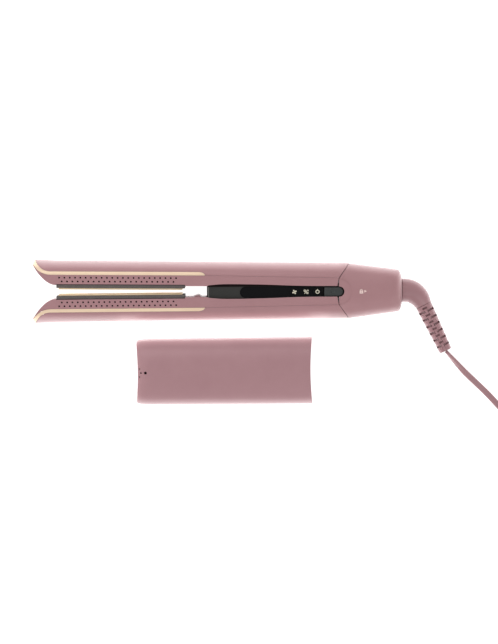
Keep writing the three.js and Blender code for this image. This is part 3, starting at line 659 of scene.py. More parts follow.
def sweepLine(name, points, section, sizeAt=None, rollAt=None):
    up = Vector((0, 0, 1))
    out = []
    last = len(points) - 1
    for i, point in enumerate(points):
        along = (points[min(i + 1, last)] - points[max(i - 1, 0)]).normalized()
        across = up.cross(along).normalized()
        over = along.cross(across)
        size = sizeAt(i / last) if sizeAt else 1
        roll = rollAt(i) if rollAt else 0
        cos, sin = math.cos(roll), math.sin(roll)
        ring = []
        for u, v in section:
            a, b = u * size, v * size
            ring.append(tuple(point + across * (a * cos - b * sin) + over * (a * sin + b * cos)))
        out.append(ring)
    return rings(name, out)


cordLine = cordPath(cordSizes)
cordTwist = lambda i: math.pi / 2 * max(0.0, 1 - i / cordSizes["twistSteps"])
cordPiece = sweepLine("power_cord", cordLine, flatSection(cordSizes), rollAt=cordTwist)
cordPiece.data.transform(Matrix.Scale(mm, 4))
smooth(cordPiece, 60)
cordPiece.data.materials.append(cordRubber)
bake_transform(cordPiece)
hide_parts("cord_lead", "cord_coil", "cord_end")
print("cord", round(lineLength(cordLine)), "mm in", len(cordLine), "steps")


# Plug and tie

plugSizes = {"round": 2.2, "grooves": 5, "pitch": 2.6, "firstGroove": 20, "grooveHalf": 0.5,
             "grooveFrom": 16.1, "pinRound": 0.8, "tieRound": 1.6, "tieWall": 0.8,
             "tieFloor": 1.0, "tieEdge": 0.25}


def plug():
    p = plugSizes
    low, high = boxMm("plug_body")
    x = (low.x + high.x) / 2
    outline = [(-4, 0), (4, 0), (6, 6), (16.5, 18), (16.5, 34), (10.5, 40), (-10.5, 40),
               (-16.5, 34), (-16.5, 18), (-6, 6)]
    body = prism([(x + px, low.y + py) for px, py in outline], low.z, high.z)
    body = bevelled(body, p["round"], 5, 15)
    for i in range(p["grooves"]):
        for side in (-1, 1):
            y = low.y + p["firstGroove"] + p["pitch"] * i
            groove = block(sorted((x + side * p["grooveFrom"], x + side * 20)),
                           (y - p["grooveHalf"], y + p["grooveHalf"]), (-1, 20))
            body = combine(body, groove)
    pieces = [finish(body, "plugBody", rubber, "base", ["plug_body"], angle=30)]
    for i in (1, 2):
        low, high = boxMm(f"plug_pin_{i}")
        mid = (low + high) / 2
        radius = (high.x - low.x) / 2
        pin = bevelled(bar("y", radius, high.y - low.y, (mid.x, low.y, mid.z), 48),
                       p["pinRound"], 4)
        pieces.append(finish(pin, f"plugPin{i}", brassPin, "base", [f"plug_pin_{i}"]))
    return pieces


def coilTie():
    p = plugSizes
    low, high = boxMm("coil_tie")
    outer = block((low.x, high.x), (low.y, high.y), (max(low.z, 0), high.z))
    outer = bevelled(outer, p["tieRound"], 4, 15)
    inner = block((low.x - 1, high.x + 1), (low.y + p["tieWall"], high.y - p["tieWall"]),
                  (p["tieFloor"], high.z - p["tieWall"]))
    return finish(bevelled(combine(outer, inner), p["tieEdge"]), "coilTie", darkPlastic, "base",
                  ["coil_tie"])


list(plug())
coilTie()
print("plug and tie made")


# The iron's shells, cut from one smooth form

def bodyStations():
    b = bodySizes
    outerX = seamX + b["seamReach"]
    slope = (b["seamHalf"] - b["tailHalf"]) / (tailEnd - b["tailCorner"] - outerX)
    tailHalfAt = lambda x: b["seamHalf"] - max(0, x - outerX) * slope
    flat, out = b["flatFront"], []
    for i in range(7):                      # the rounded tip
        a = math.pi / 2 * i / 6
        inset = b["tipRound"] * (1 - math.sin(a))
        x = tipX + b["tipRound"] * (1 - math.cos(a))
        out.append((x, b["tipHalf"] - 0.8 * inset, flat, middle - inset))
    out.append((tipX + 6, b["tipHalf"] - 0.2, flat, middle))
    out.append((holderX, b["frontHalf"], flat, middle))
    out.append((coreX, (b["frontHalf"] + b["seamHalf"]) / 2, flat, middle))
    out.append((seamX - 12, b["seamHalf"] + 0.1, b["flatSeam"] + 0.2, middle))
    out.append((seamX, b["seamHalf"], b["flatSeam"], middle))
    for i in range(1, 13):                  # the flat band ends in a half circle
        x = seamX + b["flatSeam"] * math.sin(math.pi / 2 * i / 12)
        wide = math.sqrt(max(0, b["flatSeam"] ** 2 - (x - seamX) ** 2))
        out.append((x, tailHalfAt(x), max(wide, b["flatTail"]), middle))
    start = tailEnd - b["tailRound"]
    collar = b["collar"] + b["collarPlay"]
    reach = b["tailCorner"] + b["cornerPlay"]
    roundIn, roundOut = b["roundPowers"]
    cornerIn, cornerOut = b["cornerPowers"]
    for i in range(21):                     # rounded and bevelled down to the collar
        t = math.sin(math.pi / 2 * i / 20)
        x = start + (tailEnd - start) * t
        deep = collar + (middle - collar) * (1 - t ** roundIn) ** roundOut
        corner = max(0, (x - tailEnd + reach) / reach)
        half = collar + (tailHalfAt(x) - collar) * (1 - corner ** cornerIn) ** cornerOut
        out.append((x, half, 0.4 + (b["flatTail"] - 0.4) * (1 - t), deep))
    return out


bodyForm = form(bodyStations(), 0)
cavity = form(bodyStations(), bodySizes["wall"])
skin = combine(copyOf(bodyForm, "skin"), cavity, keep=True)
print("body form made")

b = bodySizes
gap, seamGap = b["gap"], b["seam"] / 2
noseEdge = curve2((tipX + 0.4, b["tipHalf"] - 4.6), (holderX - gap - 8.7, b["panelEdge"] - 0.7),
                  (holderX - gap, b["panelEdge"] - 0.7), 20)
trimRootX = holderX - 3.4
trimLow = curve2((tipX - 0.6, b["tipHalf"] - 2.4), (tipX + 5.3, b["flatFront"] - 0.3),
                 (trimRootX, b["flatFront"]), 20)
trimHigh = curve2((tipX + 1.8, b["tipHalf"] - 0.3),
                  (tipX + 6.6, b["flatFront"] + b["trim"] - 0.6),
                  (trimRootX, b["flatFront"] + b["trim"]), 20)
trimEndX = coreX - 1.6
trimTaper = curve2((trimEndX - 5.6, b["flatFront"] + b["trim"]),
                   (trimEndX - 1.5, b["flatFront"] + b["trim"]),
                   (trimEndX, b["flatFront"] + 0.6), 10)
seamCorner = (seamX + gap, b["flatSeam"])
seamOuter = (seamX + b["seamReach"], b["seamHalf"] + 0.05)
seamSlope = (seamOuter[0] - seamCorner[0]) / (seamOuter[1] - seamCorner[1])
seamAt = lambda y: seamCorner[0] + (y - seamCorner[1]) * seamSlope
armRadius = math.hypot(*seamCorner) + 0.4
armSeamX = lambda y: -math.sqrt(armRadius ** 2 - y ** 2)
far = 2 * b["depth"]


def stripEdge():
    knots = [(coreX + 1.6, b["stripEdge"]), (coreX + 14.6, b["stripEdge"] + b["stripBulge"]),
             (seamX - 60, b["stripEdge"] + b["stripBulge"] * 0.8), (seamX - 31, b["stripEdge"]),
             (armSeamX(b["stripEdge"]), b["stripEdge"])]
    line = smoothLine([(x, y, 0) for x, y in knots], 5)
    return [(p.x, p.y) for p in line]


ventSizes = {"Pitch": 4.24, "Radius": 0.75, "Near Count": 22, "Far Count": 23,
             "Near Height": 6.6, "Far Height": 9.6, "Start": holderX + 2.2}


def slicedRoundVents(obj, side):
    # edges between the vents, so that each vent is cut in a face of its own
    v = ventSizes
    rowGap = side * (v["Near Height"] + v["Far Height"]) / 2
    cuts = [((0, rowGap, 0), (0, 1, 0))]
    for i in range(2 * v["Far Count"] + 1):
        cuts.append(((v["Start"] + v["Pitch"] * (i / 2 - 0.25), 0, 0), (1, 0, 0)))
    bm = bmesh.new()
    bm.from_mesh(obj.data)
    for place, normal in cuts:
        bmesh.ops.bisect_plane(bm, geom=[*bm.verts, *bm.edges, *bm.faces], plane_co=place,
                               plane_no=normal)
    bm.to_mesh(obj.data)
    bm.free()
    return obj


def ventCutters(side):
    # two staggered rows of round vents, as one Geometry Nodes tree
    sizes = {**ventSizes, "Near Height": ventSizes["Near Height"] * side,
             "Far Height": ventSizes["Far Height"] * side}
    tree, take, maths, vector = startTree("ventRows", sizes, ("Near Count", "Far Count"))
    hole = node(tree, "GeometryNodeMeshCylinder", {"Vertices": 16, "Depth": 2 * b["depth"],
                "Radius": take("Radius")})
    join = tree.nodes.new("GeometryNodeJoinGeometry")
    for row, shift in (("Near", 0.5), ("Far", 0.0)):
        first = maths("MULTIPLY_ADD", take("Pitch"), shift, take("Start"))
        line = node(tree, "GeometryNodeMeshLine", {"Count": take(row + " Count"),
                    "Start Location": vector(X=first, Y=take(row + " Height"), Z=middle),
                    "Offset": vector(X=take("Pitch"))})
        put = node(tree, "GeometryNodeInstanceOnPoints", {"Points": line.outputs[0],
                   "Instance": hole.outputs["Mesh"]})
        tree.links.new(put.outputs[0], join.inputs[0])
    endTree(tree, join.outputs[0], mauve)
    return fromNodes("vents", tree, sizes)


def cutFromSkin(outline, side):
    cutter = prism(sided(outline, side), -1, b["depth"] + 1)
    return combine(copyOf(skin, "part"), cutter, "INTERSECT")


def outerShell(label, side, body):
    outline = [(tipX - 2, b["tipHalf"] + 0.2), *shifted(trimHigh, seamGap),
               *shifted(trimTaper, seamGap), (trimEndX + 1, b["flatFront"] + seamGap),
               (coreX, b["flatFront"] + seamGap),
               (seamCorner[0] - 0.4, b["flatSeam"] + seamGap), (seamAt(far) - 0.4, far),
               (tipX - 2, far)]
    part = bevelled(cutFromSkin(outline, side), 0.22)
    return finish(part, label + "OuterShell", mauve, body, [label + "_outer_shell"],
                  turn=side > 0)


def trimBand(label, side, body):
    outline = [*shifted(trimLow, seamGap), (trimEndX, b["flatFront"] + seamGap),
               *reversed(shifted(trimTaper, -seamGap)), *reversed(shifted(trimHigh, -seamGap)),
               (tipX - 2, b["tipHalf"] - 0.3)]
    part = bevelled(cutFromSkin(outline, side), 0.18)
    return finish(part, label + "TrimBand", champagne, body, [label + "_trim_band"],
                  turn=side > 0)


def innerShell(label, side, body):
    below = shifted([*trimLow, (coreX, b["flatFront"])], -seamGap)
    outline = [(tipX - 2, b["tipHalf"] - 5.6), *noseEdge, (holderX - gap, b["panelEdge"]),
               (holderEndX + gap, b["panelEdge"]), (holderEndX + gap, b["windowEdge"]),
               (coreX, b["windowEdge"]), *stripEdge(),
               (armSeamX(b["flatSeam"]), b["flatSeam"] - seamGap), *reversed(below)]
    back = [p for p in shifted(noseEdge, b["wall"]) if p[0] < holderX - gap]
    wallLine = [*noseEdge, (holderX - gap, b["panelEdge"] + b["wall"]), *reversed(back)]
    nose = combine(prism(sided(wallLine, side), 0.01, b["depth"] - 0.01), bodyForm,
                   "INTERSECT", keep=True)
    part = combine(copyOf(skin, "part"), nose, "UNION")
    part = combine(part, prism(sided(outline, side), -1, b["depth"] + 1), "INTERSECT")
    part = slicedRoundVents(bevelled(part, 0.22), side)
    part = combine(part, ventCutters(side))
    return finish(part, label + "InnerShell", mauve, body, [label + "_inner_shell"],
                  turn=side > 0)


def plateHolder(label, side, body):
    low, high = boxMm("lower_plate_holder")
    face, back, z = -high.y, -low.y, (low.z, high.z)
    ys = lambda a, c: sorted((side * a, side * c))
    part = block((low.x, high.x), ys(face, b["panelEdge"] - gap), z)
    inner = block((low.x, high.x), ys(b["panelEdge"] - 1, back),
                  (b["wall"] + gap, b["depth"] - b["wall"] - gap))
    part = combine(part, inner, "UNION")
    plateLow, plateHigh = boxMm("lower_plate")
    recess = block((plateLow.x - gap, plateHigh.x + gap), ys(-0.1, back - 1.5),
                   (plateLow.z - gap, plateHigh.z + gap))
    part = bevelled(combine(part, recess), 0.3)
    return finish(part, label + "PlateHolder", holderGrey, body, [label + "_plate_holder"],
                  turn=side > 0)


def heatedPlate(label, side, body):
    low, high = boxMm("lower_plate")
    part = block((low.x, high.x), sorted((-side * low.y, -side * high.y)), (low.z, high.z))
    part = bevelled(part, 0.45, 3)
    return finish(part, label + "Plate", plateGold, body, [label + "_plate"],
                  turn=side > 0)


# where the dark sheets of painted shade stand: behind the vents, and behind the gaps beside the
# control strip
shadeSheetSizes = {"edges": (5.75, 10.8), "thickness": 0.2, "stripShadeEdges": (4.62, 7.5)}


def ventShadeSheets(label, side, body):
    # dark sheets close behind the vents, on both flat sides: painted shade that makes the holes read
    # dark
    ys = sorted(side * y for y in shadeSheetSizes["edges"])
    sheets = []
    for low in (b["depth"] - b["wall"] - 0.05 - shadeSheetSizes["thickness"], b["wall"] + 0.05):
        sheets.append(block((holderX + 0.5, holderX + 100.0), ys,
                            (low, low + shadeSheetSizes["thickness"])))
    finish(joined("ventShade", sheets), label + "VentShadeSheet", shadeMaroon, body, turn=side > 0)


springSizes = {"radius": 2.6, "wire": 0.5, "turns": 5, "travel": 1.2, "steps": 120}


def plateSpring(label, side, body, end):
    # a coil spring behind the plate
    z = springSizes
    low, high = boxMm(f"lower_{end}_spring")
    x, near, back = (low.x + high.x) / 2, -high.y + z["wire"], -low.y - z["wire"]
    out = []
    for i in range(z["steps"] + 1):
        t = i / z["steps"]
        angle = 2 * math.pi * z["turns"] * t
        radial = Vector((math.cos(angle), 0, math.sin(angle)))
        point = Vector((x, side * (near + (back - near) * t), middle)) + radial * z["radius"]
        out.append([tuple(point + radial * u + Vector((0, v, 0)))
                    for u, v in ring2d(z["wire"], 8)])
    name = f"{label}_{end}_spring"
    piece = finish(rings(name, out), label + end.title() + "Spring", steel, body, [name],
                   turn=side > 0)
    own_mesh(piece)


def stripShadeSheets():
    # thin dark strips behind the gap on each side of the control strip, and one in the lower seam by
    # the tail: painted shade that keeps these gaps dark
    sheets = []
    for side in (1, -1):
        ys = sorted(side * y for y in shadeSheetSizes["stripShadeEdges"])
        for low in (b["depth"] - b["wall"] - 0.21, b["wall"] + 0.09):
            sheets.append(block((coreX + 0.3, seamX - 4), ys, (low, low + 0.12)))
    line = [(seamCorner[0] - 1.5, b["flatSeam"]), (seamOuter[0] - 2.0, b["seamHalf"] - 0.45),
            (seamOuter[0] + 1.5, b["seamHalf"] - 0.45), (seamCorner[0] + 2, b["flatSeam"])]
    sheets.append(prism(sided(line, -1), middle - 0.1, middle + 0.1))
    finish(joined("stripShade", sheets), "stripShadeSheets", stripShadeBlack, "base")


for label, side, body in (("upper", 1, "upper_arm"), ("lower", -1, "base")):
    ventShadeSheets(label, side, body)
    outerShell(label, side, body)
    trimBand(label, side, body)
    innerShell(label, side, body)
    plateHolder(label, side, body)
    heatedPlate(label, side, label + "_floating_plate")
    for end in ("front", "rear"):
        plateSpring(label, side, body, end)
stripShadeSheets()
print("arms made")


# Tail

tailSizes = {"grooveRadius": 10.4, "grooveWidth": 0.4, "grooveDepth": 0.25, "notch": 4.1,
             "lockX": -20.4, "arrowX": -17.1, "printRaise": 0.04}


def band(inner, outer, low, high, start=0.0, turn=2 * math.pi, centre=(0.0, 0.0), count=64):
    # a flat ring, or part of one
    a = ring2d(outer, count, start, turn, centre)
    c = ring2d(inner, count, start, turn, centre)
    section = [[(*a[i], low), (*a[i], high), (*c[i], high), (*c[i], low)] for i in range(count)]
    return rings("band", section, closed=abs(turn - 2 * math.pi) < 1e-6)


def tailShells():
    t = tailSizes
    notch = ring2d(t["notch"], 25, math.pi / 2, -math.pi, (seamX + 0.3, 0))
    upper = [(seamAt(2 * b["tipHalf"]), 2 * b["tipHalf"]), seamCorner, (seamX, t["notch"] + 0.1)]
    outline = [*upper, *notch, *reversed(sided(upper, -1)),
               (tailEnd + 1, -2 * b["tipHalf"]), (tailEnd + 1, 2 * b["tipHalf"])]
    whole = combine(copyOf(skin, "tail"), prism(outline, -1, b["depth"] + 1), "INTERSECT")
    whole = combine(whole, bar("x", 7.1, 40, (tailEnd - 20, 0, middle), 48))
    lower = form(bodyStations(), t["grooveDepth"])
    groove = band(t["grooveRadius"] - t["grooveWidth"], t["grooveRadius"], -1, b["depth"] + 1,
                  centre=(seamX, 0), count=96)
    whole = combine(whole, combine(groove, lower))
    for label, z in (("front", (middle + 0.06, far)), ("back", (-1, middle - 0.06))):
        part = combine(copyOf(whole, "half"), block((seamX - far, far), (-far, far), z),
                       "INTERSECT")
        finish(bevelled(part, 0.1, angle=55), f"tail{label.title()}Shell", mauve, "base",
               [f"tail_{label}_shell"], angle=32)
    bpy.data.objects.remove(whole)


def lockPrint():
    # a padlock and an arrow on the tail, towards the cord
    t = tailSizes
    low, high = b["depth"] - 0.4, b["depth"] + t["printRaise"]
    x = t["lockX"]
    box = combine(block((x - 1.4, x + 1.4), (-1.7, 0.7), (low, high)),
                  bar("z", 0.34, 3, (x, -0.5, low - 1), 16))
    arrow = t["arrowX"]
    parts = [box, band(0.62, 1.06, low, high, 0, math.pi, (x, 0.72), 20),
             prism([(arrow - 0.9, -0.95), (arrow + 1.1, 0.1), (arrow - 0.9, 1.15)], low, high)]
    finish(joined("lock", parts), "lockPrint", lockInk, "base")


tailShells()
lockPrint()
print("tail made")


# Control strip

coreSizes = {"half": coreBox[1].y, "low": coreBox[0].z, "top": coreBox[1].z,
             "lipLength": 1.2, "lipDrop": 0.7, "highlightWidth": 0.38,
             "lensHalf": lensBox[1].y, "lensTop": lensBox[1].z, "lensLow": lensBox[0].z,
             "buttonRadius": 3.2, "buttonGap": 0.14, "iconRaise": 0.03, "lensGap": 0.12,
             "lensFloor": 0.3, "slotHalf": 4.0, "slotDepth": 3.9, "slotPlay": 0.7,
             "boreRadius": 3.3, "boreDepth": 5.5, "edge": 0.12, "round": 0.14}
buttonX = {n: (boxMm(n)[0].x + boxMm(n)[1].x) / 2
           for n in ("fan_button", "temperature_button", "power_button")}


def roundEnd(x, half, z, left, right, name="roundEnd", steps=24):
    # a bar with one or both ends rounded
    points = []
    for at, isRound, start in ((x[1], right, -math.pi / 2), (x[0], left, math.pi / 2)):
        sign = 1 if at == x[1] else -1
        if isRound:
            points += ring2d(half, steps, start, math.pi, (at - sign * half, 0))
        else:
            points += [(at, -half * sign), (at, half * sign)]
    return prism(points, *z, name)


def coreFrame():
    c = coreSizes
    end = coreBox[1].x
    body = block((coreX, end), (-c["half"], c["half"]), (c["low"], c["top"]))
    lip = block((coreX - 1, coreX + c["lipLength"]), (-far, far), (c["top"] - c["lipDrop"], far))
    body = combine(body, lip)
    seat = roundEnd((lensBox[0].x - c["lensGap"], sliderBox[0].x),
                    c["lensHalf"] + c["lensGap"], (c["lensLow"] - c["lensFloor"], far),
                    True, False)
    body = combine(body, seat)
    slot = roundEnd((lensBox[1].x, sliderBox[1].x + c["slotPlay"]), c["slotHalf"],
                    (c["top"] - c["slotDepth"], far), False, True)
    body = bevelled(combine(body, slot), c["edge"])
    backSeat = block((coreX + 1.5, seamX - 4.9), (-c["lensHalf"] - 0.3, c["lensHalf"] + 0.3),
                     (c["low"] - 1, c["low"] + 1.9))
    body = combine(body, backSeat)
    for x in buttonX.values():
        body = combine(body, bar("z", c["boreRadius"], 6, (x, 0, c["lensLow"] - c["boreDepth"]), 32))
    finish(body, "coreFrame", charcoal, "base", ["core_frame"])
    # a light grey line at the step by the front end: a painted highlight for the edge catching the
    # light
    edge = block((coreX + c["lipLength"], coreX + c["lipLength"] + c["highlightWidth"]),
                 (-c["half"] + 0.4, c["half"] - 0.4), (c["top"] - 0.3, c["top"] + 0.03))
    finish(edge, "coreEdgeHighlight", edgeHighlightGrey, "base")


def displayLens():
    c = coreSizes
    body = roundEnd((lensBox[0].x, lensBox[1].x), c["lensHalf"], (c["lensLow"], c["lensTop"]),
                    True, False)
    for x in buttonX.values():
        body = combine(body, bar("z", c["buttonRadius"] + c["buttonGap"], 9,
                                 (x, 0, c["lensLow"] - 3), 48))
    finish(bevelled(body, c["round"], 3), "displayLens", glossBlack, "base", ["display_lens"])


def fanIcon():
    # four curved blades
    blades = []
    for i in range(4):
        turn = math.pi / 2 * i
        tip = ring2d(0.62, 14, turn - 0.9, math.pi + 0.5,
                     (1.12 * math.cos(turn + 0.42), 1.12 * math.sin(turn + 0.42)))
        blades.append([(0.12 * math.cos(turn), 0.12 * math.sin(turn)), *tip])
    return [prism(blade, 0, 1) for blade in blades] + [bar("z", 0.42, 1, (0, 0, 0), 16)]


def temperatureIcon():
    # a slanting stroke with a small ring on each side of it
    stroke = prism([(-1.45, -1.3), (-0.95, -1.45), (1.45, 1.3), (0.95, 1.45)], 0, 1)
    first = band(0.38, 0.82, 0, 1, centre=(-0.95, 0.85), count=20)
    second = band(0.38, 0.82, 0, 1, centre=(1.0, -0.85), count=20)
    hook = band(0.5, 0.9, 0, 1, -0.4, 1.9, (1.2, 0.7), 12)
    return [stroke, first, second, hook]


def powerIcon():
    # a broken ring with a stroke in the break
    return [band(0.95, 1.55, 0, 1, math.pi * 0.62, math.pi * 1.76, count=36),
            block((-0.24, 0.24), (0.6, 2.0), (0, 1))]


def buttons():
    c = coreSizes
    icons = {"fan_button": fanIcon, "temperature_button": temperatureIcon,
             "power_button": powerIcon}
    for name, icon in icons.items():
        x = buttonX[name]
        low, high = boxMm(name)[0].z, boxMm(name)[1].z
        cap = bevelled(bar("z", c["buttonRadius"], high - low, (x, 0, low), 48), c["round"], 3)
        finish(cap, name.replace("_b", "B"), glossBlack, name, [name])
        art = joined(name + "Icon", icon())
        art.data.transform(Matrix.Translation((x, 0, high - 0.5)) @ Matrix.Diagonal(
            (1.05, 1.05, 0.5 + c["iconRaise"], 1)))
        finish(art, name.replace("_b", "B") + "Icon", iconInkPaintedGlow, name)


sliderSizes = {"rise": 0.95, "wider": 0.25, "dishRadius": 2.4, "dishDepth": 0.6,
               "dishX": -43.4}


def lockSlider():
    low, high = sliderBox
    c = sliderSizes
    top = coreSizes["top"] + c["rise"]
    body = roundEnd((low.x, high.x), high.y + c["wider"], (low.z, top), False, True)
    dish = meshObject("dish", [], [])
    bm = bmesh.new()
    bmesh.ops.create_uvsphere(bm, u_segments=48, v_segments=24, radius=c["dishRadius"])
    place = (c["dishX"], 0, top + c["dishRadius"] - c["dishDepth"])
    bmesh.ops.translate(bm, verts=bm.verts, vec=place)
    bm.to_mesh(dish.data)
    bm.free()
    body = combine(body, dish)
    finish(bevelled(body, 0.35, 3, 50), "lockSlider", sliderGrey, "lock_slider",
           ["lock_slider"])


# light grey for the painted highlight line at the core frame's front edge
edgeHighlightGrey = makeMaterial("edgeHighlightGrey", (0.21, 0.21, 0.19), grain=3000.0, roughness=0.3)
coreFrame()
displayLens()
buttons()
lockSlider()
print("control strip made")


# Swivel, strain relief

swivelSizes = {"collar": 9.35, "end": 6.5, "neck": 6.8, "fall": 2.2, "sides": 64,
               "edge": 0.35, "flangeOut": 1.5, "flange": 1.6, "neckFrom": 4.0, "neckTo": 13.5,
               "overlap": 0.2}
elbowPath = [(12.72, 0, 18.5), (15.2, -0.05, 18.5), (17.5, -0.3, 18.5), (19.8, -0.9, 18.5),
             (21.8, -1.85, 18.5), (23.6, -3.2, 18.5), (25.4, -4.75, 18.5), (27.25, -6.9, 18.5),
             (28.85, -9.55, 18.5), (30.0, -11.95, 18.5)]
reliefStart, reliefAlong = Vector((30.09, -12.1, 18.5)), Vector((0.429, -0.9033, 0))
reliefSizes = {"Length": 40.6, "Start Radius": 6.6, "End Radius": 5.1, "Wide Rows": 6,
               "Narrow Rows": 6, "Row Pitch": 6.05, "First Wide Row": 5.2,
               "First Narrow Row": 2.4, "Wide Slot": 1.08, "Narrow Slot": 0.6,
               "Slot Width": 1.6, "Sides": 72}
# each kind of row: its turn in degrees, and how near the middle its slots go; then the dark core of
# painted shade inside the slots
reliefRows = {"Wide": (50, 0.58), "Narrow": (5, 0.66), "taper": 0.033, "core": 0.6,
              "startOut": 0.8, "endIn": 1.4, "ringInset": 0.4, "ringLength": 0.5}


def swivelElbow():
    line = smoothLine(elbowPath, 0.6)
    z = swivelSizes
    radiusAt = lambda at: z["collar"] - (z["collar"] - z["end"]) * at ** z["fall"]
    bend = sweepLine("bend", line, ring2d(1.0, z["sides"]), sizeAt=radiusAt)
    bend = bevelled(bend, z["edge"], 3, 60)
    inner = elbowBox[0].x
    neck = bar("x", z["neck"], z["neckTo"] - z["neckFrom"], (z["neckFrom"], 0, middle), 48)
    flange = bar("x", z["neck"] + z["flangeOut"], z["flange"], (inner, 0, middle), 48)
    root = bar("x", z["neck"], z["neckFrom"] + z["overlap"] - inner, (inner, 0, middle), 48)
    body = joined("elbow", [bend, neck, flange, root])
    return finish(body, "swivelElbow", rubber, "cord_swivel", ["swivel_elbow"],
                  angle=45)


def reliefSleeve():
    # a tapered sleeve with wide and narrow slots cut round it in turn, made along +Z
    tree, take, maths, vector = startTree("slottedSleeve", reliefSizes,
                                          ("Wide Rows", "Narrow Rows", "Sides"))
    radius = take("Start Radius")
    sleeve = node(tree, "GeometryNodeMeshCone", {"Vertices": take("Sides"),
                  "Radius Top": take("End Radius"), "Radius Bottom": radius,
                  "Depth": take("Length")})
    cutters = tree.nodes.new("GeometryNodeJoinGeometry")
    for kind in ("Wide", "Narrow"):
        turn, depth = reliefRows[kind]
        slot = node(tree, "GeometryNodeMeshCube", {"Size": vector(
            X=radius, Y=maths("MULTIPLY", radius, take(kind + " Slot")), Z=take("Slot Width"))})
        ring = tree.nodes.new("GeometryNodeJoinGeometry")
        for quarter in range(4):
            angle = math.radians(turn + 90 * quarter)
            place = vector(X=maths("MULTIPLY", radius, (depth + 0.5) * math.cos(angle)),
                           Y=maths("MULTIPLY", radius, (depth + 0.5) * math.sin(angle)))
            moved = node(tree, "GeometryNodeTransform", {"Geometry": slot.outputs["Mesh"],
                         "Translation": place, "Rotation": (0, 0, angle)})
            tree.links.new(moved.outputs[0], ring.inputs[0])
        line = node(tree, "GeometryNodeMeshLine", {"Count": take(kind + " Rows"),
                    "Start Location": vector(Z=take(f"First {kind} Row")),
                    "Offset": vector(Z=take("Row Pitch"))})
        index = tree.nodes.new("GeometryNodeInputIndex")
        size = maths("SUBTRACT", 1.0, maths("MULTIPLY", index.outputs[0],
                                            reliefRows["taper"]))
        put = node(tree, "GeometryNodeInstanceOnPoints", {"Points": line.outputs[0],
                   "Instance": ring.outputs[0], "Scale": vector(X=size, Y=size, Z=1.0)})
        tree.links.new(put.outputs[0], cutters.inputs[0])
    cut = node(tree, "GeometryNodeMeshBoolean", {"Mesh 1": sleeve.outputs["Mesh"],
               "Mesh 2": node(tree, "GeometryNodeRealizeInstances",
                              {0: cutters.outputs[0]}).outputs[0]},
               operation="DIFFERENCE", solver="EXACT")
    endTree(tree, cut.outputs[0], rubber)
    return fromNodes("relief", tree, reliefSizes)


def strainRelief():
    z = reliefSizes
    turn = reliefAlong.to_track_quat("Z", "Y").to_matrix().to_4x4()
    place = Matrix.Translation(reliefStart) @ turn
    sleeve = reliefSleeve()
    sleeve.data.transform(place)
    finish(bevelled(sleeve, 0.16, 2, 50), "strainRelief", rubber, "cord_swivel",
           ["ribbed_relief"], angle=45)
    # a dark core inside the sleeve and a dark ring at its start: painted shade seen through the
    # slots and the joint
    r = reliefRows
    core = bar("z", (z["Start Radius"] * r["core"], z["End Radius"] * r["core"]),
               z["Length"] + r["startOut"] - r["endIn"], (0, 0, -r["startOut"]), 32)
    ring = bar("z", z["Start Radius"] - r["ringInset"], r["ringLength"],
               (0, 0, -r["ringInset"]), 48)
    core = joined("core", [core, ring])
    core.data.transform(place)
    finish(core, "reliefSlotShade", shadeMaroon, "cord_swivel")


swivelElbow()
strainRelief()
print("swivel made")


# Slip-on cover, one rule for the outside and the inside

coverSizes = {"Half": (coverBox[1].y - coverBox[0].y) / 2, "Roundness": 0.66,
              "Deep": (coverBox[1].z - coverBox[0].z) / 2, "Inset": 0.0, "Around": 132,
              "Along": 130, "Taper": 0.5, "End Radius": 12.0}
coverShape = {"dip": 1.6, "wall": 2.3, "innerEnd": 2.0, "edge": 0.8, "drop": 0.3,
              "pinch": 0.5, "vent": 3.9, "ventRadius": 1.1, "blindDepth": 3,
              "blindVents": [(-3.6, 0, 0.65), (-4.8, 3.2, 0.6), (-4.8, -3.2, 0.6)]}


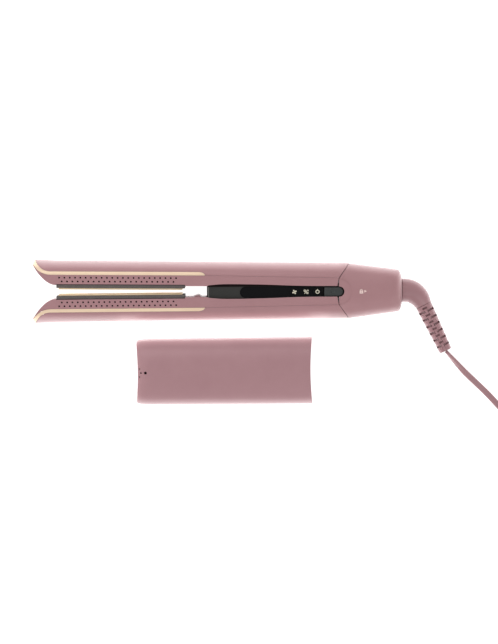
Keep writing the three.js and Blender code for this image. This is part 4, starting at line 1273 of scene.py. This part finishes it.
def coverForm(inset, start, length, endRadius):
    # a tube rolled into a flat-sided oval, slimmer and rounded at its closed end
    values = {**coverSizes, "Inset": inset, "Start": start, "Length": length,
              "End Radius": endRadius}
    tree, take, maths, vector = startTree("coverForm", values, ("Around", "Along"))
    tube = node(tree, "GeometryNodeMeshCylinder", {"Vertices": take("Around"),
                "Side Segments": take("Along"), "Radius": 1.0, "Depth": 1.0})
    place = node(tree, "ShaderNodeSeparateXYZ",
                 {0: tree.nodes.new("GeometryNodeInputPosition").outputs[0]})
    u, v, along = (place.outputs[i] for i in range(3))
    share = maths("ADD", along, 0.5)
    near = maths("SUBTRACT", 1.0, maths("MINIMUM", 1.0, maths(
        "DIVIDE", maths("MULTIPLY", share, take("Length")), take("End Radius"))))
    fall = maths("SUBTRACT", 1.0, maths("SQRT", maths(
        "SUBTRACT", 1.0001, maths("MULTIPLY", near, near))))
    corner = maths("MULTIPLY", fall, maths("MULTIPLY", take("End Radius"),
                                             coverShape["drop"]))
    slim = maths("ADD", maths("MULTIPLY", corner, coverShape["pinch"]),
                 maths("MULTIPLY", take("Taper"), maths("SUBTRACT", 1.0, share)))
    half = maths("SUBTRACT", maths("SUBTRACT", take("Half"), take("Inset")), slim)
    deep = maths("SUBTRACT", maths("SUBTRACT", take("Deep"), take("Inset")), corner)
    soft = lambda value: maths("MULTIPLY", maths("SIGN", value), maths(
        "POWER", maths("ABSOLUTE", value), take("Roundness")))
    x = maths("ADD", take("Start"), maths("MULTIPLY", share, take("Length")))
    moved = node(tree, "GeometryNodeSetPosition", {"Geometry": tube.outputs["Mesh"],
                 "Position": vector(X=x, Y=maths("MULTIPLY", soft(u), half),
                                    Z=maths("MULTIPLY", soft(v), deep))})
    endTree(tree, moved.outputs[0], coverMauve)
    return recalc(fromNodes("coverForm", tree, values))


def travelCover():
    low, high = coverBox
    centre = (low + high) / 2
    half, deep = coverSizes["Half"], coverSizes["Deep"]
    dip, wall = coverShape["dip"], coverShape["wall"]
    length = high.x - low.x + 2
    outer = coverForm(0.0, low.x, length, coverSizes["End Radius"])
    radius = (half ** 2 + dip ** 2) / (2 * dip)
    for x, way in ((low.x + dip, -1), (high.x - dip, 1)):
        hollow = bar("z", radius, 8 * middle, (x + way * radius, 0, -4 * middle), 720)
        outer = combine(outer, hollow)
    inner = coverForm(wall, low.x + dip + wall, length, coverShape["innerEnd"])
    body = bevelled(combine(outer, inner), coverShape["edge"], 4, 50)
    vents = [(0, 0, coverShape["ventRadius"], deep)]
    vents += [(*vent, coverShape["blindDepth"]) for vent in coverShape["blindVents"]]
    for x, y, r, depth in vents:
        place = (low.x + dip + wall + coverShape["vent"] + x, y, deep - depth)
        body = combine(body, bar("z", r, 2 * depth, place, 24))
    body.data.transform(Matrix.Translation((0, centre.y, centre.z)))
    finish(body, "travelCover", coverMauve, "travel_cover", ["travel_cover"])


travelCover()
print("cover made")

for leftover in (bodyForm, cavity, skin):
    bpy.data.objects.remove(leftover)


# What stays as the frame has it, with its own finish

slotMaterials = {"steel": steel, "ceramic": ceramic, "dark_plastic": darkPlastic,
                 "board": boardGreen, "core": charcoal, "shell": mauve, "lens": glossBlack,
                 "slider": sliderGrey, "moulded_rubber": rubber, "pin_brass": brassPin,
                 "trim": champagne, "plate": plateGold, "holder": holderGrey,
                 "cord": cordRubber}
for part in frame["record"]["subparts"]:
    obj = frame["nodes"][part["node"]]
    for slot in obj.material_slots:
        slot.material = slotMaterials[part["material_slot"]]
